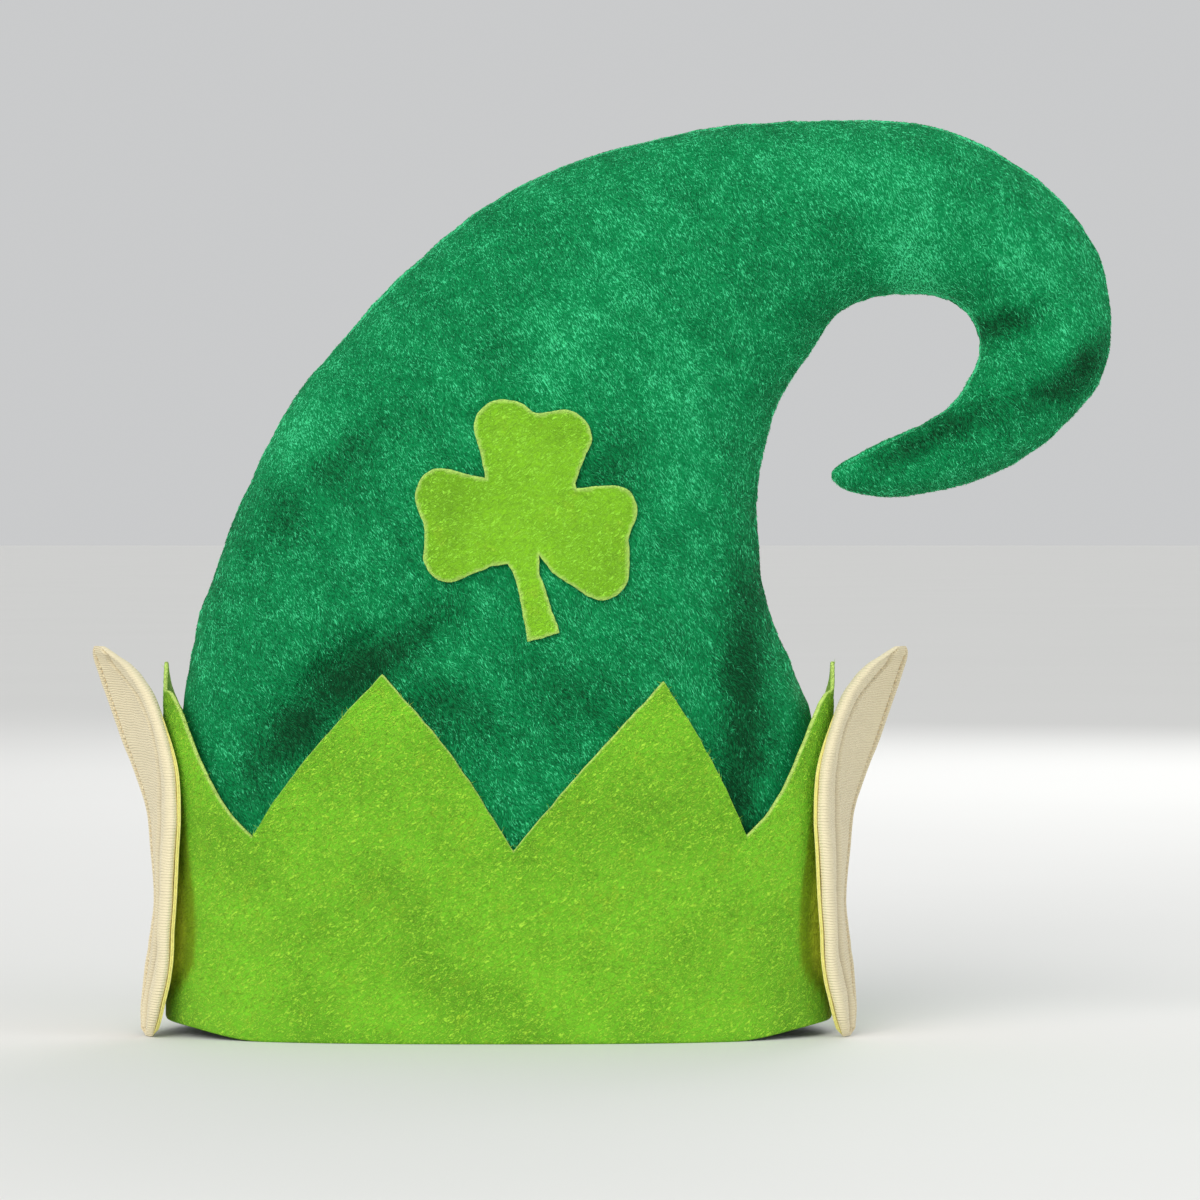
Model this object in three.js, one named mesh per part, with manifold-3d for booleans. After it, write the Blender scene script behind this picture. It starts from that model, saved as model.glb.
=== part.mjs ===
// A leprechaun hat: a hollow plush crown that bends over into a hook, a felt cuff cut in points,
// a felt shamrock on the front and a padded pointed ear on each side.
// Millimetres, +Z up. The front faces -Y, and the hook bends over to +X.
// The origin is under the middle of the whole hat, on the surface that the rim stands on.
import * as THREE from "three";
import { mergeVertices } from "three/addons/utils/BufferGeometryUtils.js";
import Module from "manifold-3d";

const wasm = await Module();
wasm.setup();

// Driving sizes
const RIM_WIDTH = 246; // the crown's rim, ear to ear
const RIM_DEPTH = 95; // the crown's rim, front to back
const RIM_SQUARENESS = 2.6; // the superellipse power of the cuff: 2 is an ellipse
const CROWN_HEIGHT = 341; // the rim to the top of the bend
const SIDE_LIFT = 5.2; // how far the rim rises at the two sides
const CUFF_HEIGHT = 134.5; // the rim to the tip of a front point
const SHAMROCK_LEAF = 39.3; // the middle of the shamrock to the notch of a leaf
const EAR_LENGTH = 143.5; // lobe to tip
const EAR_WIDTH = 60; // front edge to back edge
const EAR_ROLL = 8.5; // the diameter of the stuffed roll round an ear
const EAR_WEB = 3.2; // the ear's layers inside the roll
const PLUSH_WALL = 2.4;
const FELT_WALL = 1.6;
const PIECE_GAP = 0.3; // between two pieces that are sewn or glued together
const SHORTEST_HOLLOW = 2; // the smallest half width that the hollow of the crown runs into

// The crown's sections from the rim to the tip. Each spans from its outer seam to its inner seam.
// X is a share of half the rim's width, Z of the crown's height, depth of the rim's depth.
const CROWN_SECTIONS = [
  { outerX: -1.0, outerZ: 0, innerX: 1.0, innerZ: 0, depth: 1.0, squareness: 2.5 },
  { outerX: -0.985, outerZ: 0.17, innerX: 0.985, innerZ: 0.17, depth: 0.99, squareness: 2.45 },
  { outerX: -0.966, outerZ: 0.33, innerX: 0.962, innerZ: 0.32, depth: 0.95, squareness: 2.35 },
  { outerX: -0.925, outerZ: 0.432, innerX: 0.896, innerZ: 0.395, depth: 0.91, squareness: 2.25 },
  { outerX: -0.87, outerZ: 0.497, innerX: 0.852, innerZ: 0.432, depth: 0.88, squareness: 2.2 },
  { outerX: -0.779, outerZ: 0.583, innerX: 0.81, innerZ: 0.48, depth: 0.84, squareness: 2.15 },
  { outerX: -0.62, outerZ: 0.693, innerX: 0.785, innerZ: 0.556, depth: 0.79, squareness: 2.1 },
  { outerX: -0.41, outerZ: 0.785, innerX: 0.79, innerZ: 0.605, depth: 0.74, squareness: 2.0 },
  { outerX: -0.16, outerZ: 0.871, innerX: 0.813, innerZ: 0.649, depth: 0.68, squareness: 2.0 },
  { outerX: 0.1, outerZ: 0.935, innerX: 0.853, innerZ: 0.693, depth: 0.62, squareness: 2.0 },
  { outerX: 0.43, outerZ: 0.975, innerX: 0.926, innerZ: 0.737, depth: 0.57, squareness: 1.9 },
  { outerX: 0.755, outerZ: 0.996, innerX: 1.015, innerZ: 0.783, depth: 0.52, squareness: 1.9 },
  { outerX: 1.045, outerZ: 1.0, innerX: 1.122, innerZ: 0.804, depth: 0.48, squareness: 1.9 },
  { outerX: 1.275, outerZ: 0.995, innerX: 1.23, innerZ: 0.811, depth: 0.45, squareness: 1.85 },
  { outerX: 1.49, outerZ: 0.969, innerX: 1.336, innerZ: 0.808, depth: 0.42, squareness: 1.85 },
  { outerX: 1.68, outerZ: 0.924, innerX: 1.42, innerZ: 0.794, depth: 0.4, squareness: 1.85 },
  { outerX: 1.81, outerZ: 0.861, innerX: 1.462, innerZ: 0.77, depth: 0.38, squareness: 1.85 },
  { outerX: 1.86, outerZ: 0.784, innerX: 1.468, innerZ: 0.746, depth: 0.37, squareness: 1.85 },
  { outerX: 1.835, outerZ: 0.721, innerX: 1.443, innerZ: 0.719, depth: 0.36, squareness: 1.85 },
  { outerX: 1.737, outerZ: 0.672, innerX: 1.376, innerZ: 0.687, depth: 0.34, squareness: 1.85 },
  { outerX: 1.59, outerZ: 0.629, innerX: 1.266, innerZ: 0.663, depth: 0.3, squareness: 1.9 },
  { outerX: 1.397, outerZ: 0.6, innerX: 1.146, innerZ: 0.643, depth: 0.26, squareness: 2.0 },
  { outerX: 1.2, outerZ: 0.588, innerX: 1.055, innerZ: 0.626, depth: 0.2, squareness: 2.0 },
  { outerX: 1.045, outerZ: 0.594, innerX: 1.003, innerZ: 0.612, depth: 0.08, squareness: 2.0 },
];

// Soft dents and folds, pressed into the front and the back. X is a share of half the rim's width,
// Z, length and width of the crown's height, depth of the rim's depth. Turn is in degrees from +X.
const CROWN_DENTS = [
  { x: -0.485, z: 0.4, length: 0.14, width: 0.03, turn: 32, depth: 0.045 },
  { x: -0.5, z: 0.548, length: 0.05, width: 0.035, turn: -35, depth: 0.03 },
  { x: -0.19, z: 0.66, length: 0.07, width: 0.03, turn: 12, depth: 0.03 },
  { x: 0.66, z: 0.37, length: 0.11, width: 0.035, turn: 80, depth: 0.035 },
  { x: 1.24, z: 0.825, length: 0.04, width: 0.022, turn: 80, depth: 0.035 },
  { x: 1.54, z: 0.768, length: 0.055, width: 0.022, turn: 15, depth: 0.055 },
  { x: 1.75, z: 0.69, length: 0.06, width: 0.022, turn: 25, depth: 0.045 },
  { x: 1.28, z: 0.645, length: 0.07, width: 0.018, turn: 24, depth: 0.035 },
];

// The cuff's upper edge, in ring order from the left side along the front and back along the rear.
// Across is a share of half the rim's width. Height, how far the edge bows up on its way to the next
// corner, and how much it swells halfway there, are shares of the cuff's height.
const CUFF_EDGE = [
  { face: "front", across: -1.0, height: 1.03, bow: -0.01, swell: 0.13 },
  { face: "front", across: -0.715, height: 0.56, bow: 0.01 },
  { face: "front", across: -0.335, height: 1.005, bow: 0.033 },
  { face: "front", across: 0.05, height: 0.525, bow: 0.016 },
  { face: "front", across: 0.49, height: 0.985, bow: 0.014 },
  { face: "front", across: 0.73, height: 0.56, bow: -0.01, swell: 0.13 },
  { face: "back", across: 1.0, height: 1.03, bow: 0.06 },
  { face: "back", across: 0.72, height: 0.56, bow: 0.015 },
  { face: "back", across: 0.4, height: 1.0, bow: 0.02 },
  { face: "back", across: 0.0, height: 0.54, bow: 0.02 },
  { face: "back", across: -0.4, height: 1.0, bow: 0.015 },
  { face: "back", across: -0.72, height: 0.56, bow: 0.06 },
];

// The leaves of the shamrock, anticlockwise. Turn is in degrees from +X, length is a share of a leaf.
// First and second are the reach of a leaf's two lobes, as shares of the outline's: they were cut by hand.
const SHAMROCK_LEAVES = [
  { turn: -16, length: 0.98, first: 1.0, second: 0.92 },
  { turn: 87, length: 1.0, first: 0.975, second: 1.04 },
  { turn: 183.5, length: 0.97, first: 1.0, second: 0.96 },
];

// Half of a leaf's outline from the crotch to the notch: out along the leaf and across it, as shares of it.
const LEAF_OUTLINE = [
  { out: 0.36, across: 0.42 },
  { out: 0.57, across: 0.48 },
  { out: 0.81, across: 0.55 },
  { out: 0.98, across: 0.49 },
  { out: 1.07, across: 0.32 },
  { out: 1.045, across: 0.13 },
  { out: 1.0, across: 0.0 },
];

// The stem, from the leaves to its end: along its own direction and its width, as shares of a leaf.
const STEM_OUTLINE = [
  { along: 0.344, width: 0.3 },
  { along: 0.515, width: 0.235 },
  { along: 0.85, width: 0.275 },
  { along: 1.095, width: 0.31 },
];
const STEM_TURN = -75.3; // in degrees from +X
const STEM_ASIDE = 0.135; // how far the stem runs to the left of the middle, as a share of a leaf
const SHAMROCK_PLACE = { x: 0.094, z: 0.562 }; // shares of half the rim's width and of the crown's height

// The ear's level sections, from the lobe to the tip: the middle of the roll at its front edge and at
// its back edge. Up is a share of the ear's length, roll of the roll's diameter, all else of its width.
// Out is measured from the side of the cuff, and dish is how far the web is sunk towards the cuff.
const EAR_SECTIONS = [
  { up: 0.0, frontY: -0.39, frontOut: 0.085, backY: -0.33, backOut: 0.085, dish: 0.0, roll: 0.25 },
  { up: 0.02, frontY: -0.43, frontOut: 0.08, backY: -0.27, backOut: 0.085, dish: 0.0, roll: 0.62 },
  { up: 0.05, frontY: -0.47, frontOut: 0.065, backY: -0.17, backOut: 0.085, dish: 0.0, roll: 0.86 },
  { up: 0.1, frontY: -0.5, frontOut: 0.04, backY: -0.04, backOut: 0.08, dish: 0.0, roll: 1.0 },
  { up: 0.16, frontY: -0.51, frontOut: 0.005, backY: 0.07, backOut: 0.075, dish: 0.0, roll: 1.0 },
  { up: 0.23, frontY: -0.515, frontOut: -0.03, backY: 0.17, backOut: 0.053, dish: -0.01, roll: 1.0 },
  { up: 0.34, frontY: -0.515, frontOut: -0.055, backY: 0.3, backOut: 0.033, dish: -0.02, roll: 1.0 },
  { up: 0.473, frontY: -0.51, frontOut: -0.07, backY: 0.4, backOut: 0.068, dish: -0.02, roll: 1.0 },
  { up: 0.57, frontY: -0.5, frontOut: -0.08, backY: 0.44, backOut: 0.1, dish: -0.005, roll: 1.0 },
  { up: 0.68, frontY: -0.465, frontOut: -0.065, backY: 0.47, backOut: 0.19, dish: 0.02, roll: 1.0 },
  { up: 0.784, frontY: -0.39, frontOut: -0.005, backY: 0.48, backOut: 0.29, dish: 0.035, roll: 1.0 },
  { up: 0.88, frontY: -0.25, frontOut: 0.09, backY: 0.465, backOut: 0.37, dish: 0.035, roll: 1.0 },
  { up: 0.946, frontY: -0.06, frontOut: 0.22, backY: 0.43, backOut: 0.42, dish: 0.02, roll: 0.92 },
  { up: 0.98, frontY: 0.12, frontOut: 0.34, backY: 0.4, backOut: 0.45, dish: 0.005, roll: 0.7 },
  { up: 1.0, frontY: 0.25, frontOut: 0.42, backY: 0.34, backOut: 0.46, dish: 0.0, roll: 0.35 },
];

// How finely the surfaces are faceted
const CROWN_RINGS = 44;
const CROWN_SIDES = 36;
const CUFF_STEPS = 8; // between a point and a valley
const CUFF_ROWS = 4;
const EAR_RINGS = 24;
const EAR_SIDES = 28;

const PLUSH_GREEN = 0x0b7a45;
const FELT_LIME = 0x76bd2e;
const SHAMROCK_LIME = 0x8fce26;
const KNIT_CREAM = 0xe9dfbe;

const HALF_WIDTH = RIM_WIDTH / 2;
const HALF_DEPTH = RIM_DEPTH / 2;
const CUFF_SIDE = HALF_WIDTH + PIECE_GAP + FELT_WALL; // the outside of the cuff at an ear
const count = (n) => Array.from({ length: n }, (_, i) => i);
const radians = THREE.MathUtils.degToRad;

// Faces between neighbouring rings of points, which run the same way round.
function ringFaces(rings, joinEnds) {
  const sides = rings[0].length;
  const faces = [];
  for (const r of count(joinEnds ? rings.length : rings.length - 1)) {
    const next = (r + 1) % rings.length;
    for (const s of count(sides)) {
      const t = (s + 1) % sides;
      const [a, b] = [r * sides + s, r * sides + t];
      const [c, d] = [next * sides + t, next * sides + s];
      faces.push(a, b, c, a, c, d);
    }
  }
  return faces;
}

// A closed surface through rings, with a fan over the first and the last ring.
function closedLoft(rings) {
  const sides = rings[0].length;
  const points = rings.flat();
  const faces = ringFaces(rings, false);
  const middle = (ring) => ring.reduce((sum, p) => sum.add(p), new THREE.Vector3()).divideScalar(sides);
  const first = points.push(middle(rings[0])) - 1;
  const last = points.push(middle(rings.at(-1))) - 1;
  const start = (rings.length - 1) * sides;
  for (const s of count(sides)) {
    const t = (s + 1) % sides;
    faces.push(first, t, s, last, start + s, start + t);
  }
  return surface(points, faces);
}

// A closed surface through rings whose last one joins the first.
function closedRing(rings) {
  return surface(rings.flat(), ringFaces(rings, true));
}

function surface(points, faces) {
  const geometry = new THREE.BufferGeometry().setFromPoints(points);
  geometry.setIndex(faces);
  return geometry;
}

function solidOf(geometry) {
  const bare = new THREE.BufferGeometry().setAttribute("position", geometry.getAttribute("position"));
  bare.setIndex(geometry.index);
  const merged = mergeVertices(bare, 1e-3);
  const mesh = new wasm.Mesh({
    numProp: 3,
    vertProperties: merged.attributes.position.array,
    triVerts: new Uint32Array(merged.index.array),
  });
  return new wasm.Manifold(mesh);
}

function geometryOf(solid) {
  const mesh = solid.getMesh();
  const geometry = new THREE.BufferGeometry();
  geometry.setAttribute("position", new THREE.BufferAttribute(mesh.vertProperties, 3));
  geometry.setIndex(new THREE.BufferAttribute(mesh.triVerts, 1));
  geometry.computeVertexNormals();
  return geometry;
}

function piece(name, geometry, color, roughness) {
  const material = new THREE.MeshStandardMaterial({ color, roughness, metalness: 0 });
  const mesh = new THREE.Mesh(geometry, material);
  mesh.name = name;
  return mesh;
}

// A point of a superellipse, as shares of its two half axes.
function superellipse(angle, power) {
  const part = (v) => Math.sign(v) * Math.abs(v) ** (2 / power);
  return { x: part(Math.cos(angle)), y: part(Math.sin(angle)) };
}

// The rim and what is near it rise a little towards the two sides.
function liftSides(p) {
  const side = THREE.MathUtils.smoothstep(Math.abs(p.x) / HALF_WIDTH, 0.7, 1.02);
  const fade = THREE.MathUtils.clamp(1 - p.z / CUFF_HEIGHT, 0, 1);
  return p.setZ(p.z + SIDE_LIFT * side * fade);
}

// The crown

const spline = (rows, x, y) => new THREE.SplineCurve(rows.map((row) => new THREE.Vector2(x(row), y(row))));
const outerSeam = spline(CROWN_SECTIONS, (s) => s.outerX * HALF_WIDTH, (s) => s.outerZ * CROWN_HEIGHT);
const innerSeam = spline(CROWN_SECTIONS, (s) => s.innerX * HALF_WIDTH, (s) => s.innerZ * CROWN_HEIGHT);
const crownForm = spline(CROWN_SECTIONS, (s) => s.depth * HALF_DEPTH, (s) => s.squareness);

// The section at t, which is 0 at the rim and 1 at the tip. A 2-D vector holds X and Z.
function crownSection(t) {
  const outer = outerSeam.getPoint(t);
  const inner = innerSeam.getPoint(t);
  const { x: halfDepth, y: squareness } = crownForm.getPoint(t);
  const across = inner.clone().sub(outer);
  return {
    middle: outer.add(inner).multiplyScalar(0.5),
    halfWidth: across.length() / 2,
    across: across.normalize(),
    halfDepth,
    squareness,
  };
}

// How far the dents press the surface in at a place on the front.
function dentDepth(x, z) {
  let sum = 0;
  for (const dent of CROWN_DENTS) {
    const away = new THREE.Vector2(x - dent.x * HALF_WIDTH, z - dent.z * CROWN_HEIGHT);
    away.rotateAround(new THREE.Vector2(), -radians(dent.turn));
    const along = away.x / (dent.length * CROWN_HEIGHT);
    const aside = away.y / (dent.width * CROWN_HEIGHT);
    sum += dent.depth * RIM_DEPTH * Math.exp(-along * along - aside * aside);
  }
  return sum;
}

// The ring of the crown's surface at t, moved in from it by inset.
function crownRing(t, inset) {
  const section = crownSection(t);
  const halfWidth = section.halfWidth - inset;
  const halfDepth = section.halfDepth - inset;
  return count(CROWN_SIDES).map((side) => {
    const turn = superellipse((side / CROWN_SIDES) * 2 * Math.PI, section.squareness);
    const flat = section.across.clone().multiplyScalar(turn.x * halfWidth).add(section.middle);
    const pressed = Math.min(dentDepth(flat.x, flat.y) * Math.abs(turn.y), halfDepth / 2);
    const y = turn.y * halfDepth - Math.sign(turn.y) * pressed * Math.abs(turn.y);
    return liftSides(new THREE.Vector3(flat.x, y, flat.y));
  });
}

const crownPlaces = count(CROWN_RINGS + 1).map((i) => i / CROWN_RINGS);

// The crown's outside as a solid with no hollow, moved out by clearance.
function crownBlock(clearance) {
  return solidOf(closedLoft(crownPlaces.map((t) => crownRing(t, -clearance))));
}

function makeCrown() {
  const roomy = (t) => {
    const { halfWidth, halfDepth } = crownSection(t);
    return Math.min(halfWidth, halfDepth) > PLUSH_WALL + SHORTEST_HOLLOW;
  };
  const outside = crownPlaces.map((t) => crownRing(t, 0));
  const inside = crownPlaces.filter(roomy).map((t) => crownRing(t, PLUSH_WALL));
  return piece("crown", closedLoft([...inside.reverse(), ...outside]), PLUSH_GREEN, 0.85);
}

// The cuff

// The crown's half depth at a height, found by halving the stretch that it lies in.
function crownHalfDepth(z) {
  let [low, high] = [0, 0.5];
  for (const _ of count(30)) {
    const t = (low + high) / 2;
    if (crownSection(t).middle.y < z) low = t;
    else high = t;
  }
  return crownSection(low).halfDepth;
}

// A point of the felt in a direction from the middle of the rim, moved out from its inner face.
function cuffPoint(direction, z, out) {
  const reach = (Math.abs(direction.x) ** RIM_SQUARENESS + Math.abs(direction.y) ** RIM_SQUARENESS)
    ** (1 / RIM_SQUARENESS);
  const x = (direction.x / reach) * (HALF_WIDTH + PIECE_GAP + out);
  const y = (direction.y / reach) * (crownHalfDepth(z) + PIECE_GAP + out);
  return liftSides(new THREE.Vector3(x, y, z));
}

// A corner of the cuff's edge on a rim whose two half axes are 1.
function cornerOnRim({ face, across }) {
  const y = (1 - Math.abs(across) ** RIM_SQUARENESS) ** (1 / RIM_SQUARENESS);
  return new THREE.Vector2(across, face === "front" ? -y : y);
}

function makeCuff() {
  const profiles = CUFF_EDGE.flatMap((corner, i) => {
    const next = CUFF_EDGE[(i + 1) % CUFF_EDGE.length];
    return count(CUFF_STEPS).map((step) => {
      const share = step / CUFF_STEPS;
      const arch = Math.sin(Math.PI * share);
      const bowed = corner.bow * arch + (corner.swell ?? 0) * arch ** 3;
      const height = THREE.MathUtils.lerp(corner.height, next.height, share) + bowed;
      const direction = cornerOnRim(corner).lerp(cornerOnRim(next), share);
      const wall = (out) => count(CUFF_ROWS + 1).map((row) => {
        return cuffPoint(direction, (row / CUFF_ROWS) * height * CUFF_HEIGHT, out);
      });
      return [...wall(0), ...wall(FELT_WALL).reverse()];
    });
  });
  return piece("cuff", closedRing(profiles), FELT_LIME, 0.95);
}

// The cuff's outside as a solid block, moved out by a gap: what fastens to the cuff is cut by it.
function cuffBlock() {
  const levels = count(CUFF_ROWS + 1).map((row) => (row / CUFF_ROWS) * EAR_LENGTH);
  const rings = levels.map((z) => count(2 * CROWN_SIDES).map((side) => {
    const turn = superellipse((side / (2 * CROWN_SIDES)) * 2 * Math.PI, RIM_SQUARENESS);
    return cuffPoint(turn, z, FELT_WALL + PIECE_GAP);
  }));
  return solidOf(closedLoft(rings));
}

// The shamrock

function shamrockShape() {
  const middle = new THREE.Vector2();
  const place = (x, y, degrees) => {
    return new THREE.Vector2(x, y).multiplyScalar(SHAMROCK_LEAF).rotateAround(middle, radians(degrees));
  };
  const stem = (sign) => STEM_OUTLINE.map(({ along, width }) => {
    return place(along, (sign * width) / 2 - STEM_ASIDE, STEM_TURN);
  });
  const shape = new THREE.Shape([stem(1)[0]]);
  for (const { turn, length, first, second } of SHAMROCK_LEAVES) {
    // The crotch and the notch stay where they are, whatever the lobe between them reaches.
    const half = (sign, reach) => LEAF_OUTLINE.map(({ out, across }, i) => {
      const stretched = i === 0 || across === 0 ? out : out * reach;
      return place(stretched * length, sign * across * length, turn);
    });
    const edge = [...half(-1, first), ...half(1, second).reverse().slice(1)];
    shape.lineTo(edge[0].x, edge[0].y);
    shape.splineThru(edge.slice(1));
  }
  for (const corner of [...stem(-1), ...stem(1).reverse()]) shape.lineTo(corner.x, corner.y);
  return shape;
}

// The felt between two surfaces round the crown, inside the shamrock's outline.
function makeShamrock() {
  const outline = new THREE.ExtrudeGeometry(shamrockShape(), {
    depth: RIM_DEPTH,
    bevelEnabled: false,
    curveSegments: 2,
  });
  outline.rotateX(Math.PI / 2);
  outline.translate(SHAMROCK_PLACE.x * HALF_WIDTH, 0, SHAMROCK_PLACE.z * CROWN_HEIGHT);
  const felt = solidOf(outline)
    .intersect(crownBlock(PIECE_GAP + FELT_WALL))
    .subtract(crownBlock(PIECE_GAP));
  return piece("shamrock", geometryOf(felt), SHAMROCK_LIME, 0.95);
}

// The ears

const earHeight = spline(EAR_SECTIONS, (s) => s.up * EAR_LENGTH, (s) => s.roll * EAR_ROLL);
const earFront = spline(EAR_SECTIONS, (s) => s.frontOut * EAR_WIDTH, (s) => s.frontY * EAR_WIDTH);
const earBack = spline(EAR_SECTIONS, (s) => s.backOut * EAR_WIDTH, (s) => s.backY * EAR_WIDTH);
const earDish = spline(EAR_SECTIONS, (s) => s.up * EAR_LENGTH, (s) => s.dish * EAR_WIDTH);

// Half the thickness of an ear at a distance in from its edge: a round roll, then the thin web.
function earHalfThickness(inward, roll) {
  if (inward < roll) return Math.sqrt(roll * roll - (roll - inward) ** 2);
  const share = THREE.MathUtils.smoothstep(inward, roll, 2.5 * roll);
  return THREE.MathUtils.lerp(roll, Math.min(roll, EAR_WEB / 2), share);
}

// The level ring of an ear at t, which is 0 at the lobe and 1 at the tip. Side is 1 for +X.
function earRing(t, side) {
  const { x: up, y: diameter } = earHeight.getPoint(t);
  const front = earFront.getPoint(t);
  const back = earBack.getPoint(t);
  const along = back.clone().sub(front).normalize();
  const outward = new THREE.Vector2(along.y, -along.x);
  const halfChord = front.distanceTo(back) / 2 + diameter / 2;
  const middle = front.add(back).multiplyScalar(0.5);
  return count(EAR_SIDES).map((i) => {
    const angle = (side * i * 2 * Math.PI) / EAR_SIDES;
    const share = -Math.cos(angle);
    const thickness = earHalfThickness((1 - Math.abs(share)) * halfChord, diameter / 2);
    const sunk = earDish.getPoint(t).y * (1 - share * share);
    const p = middle.clone().addScaledVector(along, share * halfChord);
    p.addScaledVector(outward, Math.sign(Math.sin(angle)) * thickness - sunk);
    return new THREE.Vector3(side * (CUFF_SIDE + p.x), p.y, PIECE_GAP + up);
  });
}

function makeEar(name, side) {
  const rings = count(EAR_RINGS + 1).map((i) => earRing(i / EAR_RINGS, side));
  const seated = solidOf(closedLoft(rings)).subtract(cuffBlock());
  return piece(name, geometryOf(seated), KNIT_CREAM, 0.9);
}

const hat = new THREE.Group();
hat.add(makeCrown(), makeCuff(), makeShamrock(), makeEar("ear_left", -1), makeEar("ear_right", 1));
hat.position.x = -new THREE.Box3().setFromObject(hat).getCenter(new THREE.Vector3()).x;
export default hat;
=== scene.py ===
import math

import bpy
import numpy as np
from bpy.props import FloatProperty, FloatVectorProperty, IntProperty, PointerProperty
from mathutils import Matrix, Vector, noise
from mathutils.bvhtree import BVHTree
from mathutils.geometry import delaunay_2d_cdt


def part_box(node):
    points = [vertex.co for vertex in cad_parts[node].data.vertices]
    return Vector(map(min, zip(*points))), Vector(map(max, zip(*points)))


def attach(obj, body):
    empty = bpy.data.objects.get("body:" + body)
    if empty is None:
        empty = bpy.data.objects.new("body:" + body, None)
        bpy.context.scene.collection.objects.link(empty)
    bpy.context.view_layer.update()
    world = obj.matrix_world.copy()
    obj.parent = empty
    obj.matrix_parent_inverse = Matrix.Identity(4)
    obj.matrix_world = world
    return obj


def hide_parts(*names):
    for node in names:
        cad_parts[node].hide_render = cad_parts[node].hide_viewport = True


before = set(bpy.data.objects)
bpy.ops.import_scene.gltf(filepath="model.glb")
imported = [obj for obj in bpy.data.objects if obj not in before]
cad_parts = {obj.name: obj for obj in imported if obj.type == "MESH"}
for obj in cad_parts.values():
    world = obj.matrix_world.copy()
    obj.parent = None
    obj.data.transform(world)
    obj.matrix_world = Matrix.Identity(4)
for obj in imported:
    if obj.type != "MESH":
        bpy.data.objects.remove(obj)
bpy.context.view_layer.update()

bl_info = {
    "name": "Leprechaun hat",
    "version": (1, 0, 0),
    "blender": (4, 5, 0),
    "location": "View3D > Sidebar > Hat",
    "description": "Builds the plush crown, felt cuff, felt shamrock and knitted ears of a leprechaun hat",
    "category": "Add Mesh",
}

# Every table and size below is in millimetres or in shares of a size, as in the part's own source.
# Object data is in metres, so a point is multiplied by METRE as it goes into a mesh.
METRE = 0.001
SEED = 7

RIM_WIDTH = 246.0
RIM_DEPTH = 95.0
RIM_POWER = 2.6
CROWN_HEIGHT = 341.0
SIDE_LIFT = 5.2
CUFF_HEIGHT = 134.5
SHAMROCK_LEAF = 39.3
EAR_LENGTH = 143.5
EAR_WIDTH = 60.0
EAR_ROLL = 8.5
EAR_WEB = 3.2
PLUSH_WALL = 2.4
FELT_WALL = 1.6
PIECE_GAP = 0.3
HALF_WIDTH = RIM_WIDTH / 2
HALF_DEPTH = RIM_DEPTH / 2
CUFF_SIDE = HALF_WIDTH + PIECE_GAP + FELT_WALL

# The middle of the rim, where the tables' X is 0, in the frame
cuff_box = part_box("cuff")
RIM_X = 1000 * (cuff_box[0][0] + cuff_box[1][0]) / 2

# The crown's sections: X and Z of its outer seam, X and Z of its inner seam, depth, squareness
CROWN_SECTIONS = (
    (-1.0, 0, 1.0, 0, 1.0, 2.5),
    (-0.985, 0.17, 0.985, 0.17, 0.99, 2.45),
    (-0.966, 0.33, 0.962, 0.32, 0.95, 2.35),
    (-0.925, 0.432, 0.896, 0.395, 0.91, 2.25),
    (-0.87, 0.497, 0.852, 0.432, 0.88, 2.2),
    (-0.779, 0.583, 0.81, 0.48, 0.84, 2.15),
    (-0.62, 0.693, 0.785, 0.556, 0.79, 2.1),
    (-0.41, 0.785, 0.79, 0.605, 0.74, 2.0),
    (-0.16, 0.871, 0.813, 0.649, 0.68, 2.0),
    (0.1, 0.935, 0.853, 0.693, 0.62, 2.0),
    (0.43, 0.975, 0.926, 0.737, 0.57, 1.9),
    (0.755, 0.996, 1.015, 0.783, 0.52, 1.9),
    (1.045, 1.0, 1.122, 0.804, 0.48, 1.9),
    (1.275, 0.995, 1.23, 0.811, 0.45, 1.85),
    (1.49, 0.969, 1.336, 0.808, 0.42, 1.85),
    (1.68, 0.924, 1.42, 0.794, 0.4, 1.85),
    (1.81, 0.861, 1.462, 0.77, 0.38, 1.85),
    (1.86, 0.784, 1.468, 0.746, 0.37, 1.85),
    (1.835, 0.721, 1.443, 0.719, 0.36, 1.85),
    (1.737, 0.672, 1.376, 0.687, 0.34, 1.85),
    (1.59, 0.629, 1.266, 0.663, 0.3, 1.9),
    (1.397, 0.6, 1.146, 0.643, 0.26, 2.0),
    (1.2, 0.588, 1.055, 0.626, 0.2, 2.0),
    (1.045, 0.594, 1.003, 0.612, 0.08, 2.0),
)

# Soft dents, pressed into the front and the back: X, Z, length, width, turn, depth.
# X is a share of half the rim's width, Z, length and width of the crown's height, depth of the rim's depth.
CROWN_DENTS = (
    (-0.485, 0.4, 0.14, 0.03, 32, 0.045),
    (-0.5, 0.548, 0.05, 0.035, -35, 0.03),
    (-0.19, 0.66, 0.07, 0.03, 12, 0.03),
    (0.66, 0.37, 0.11, 0.035, 80, 0.035),
    (1.24, 0.825, 0.04, 0.022, 80, 0.035),
    (1.54, 0.768, 0.055, 0.022, 15, 0.055),
    (1.75, 0.69, 0.06, 0.022, 25, 0.045),
    (1.28, 0.645, 0.07, 0.018, 24, 0.035),
)

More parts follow.
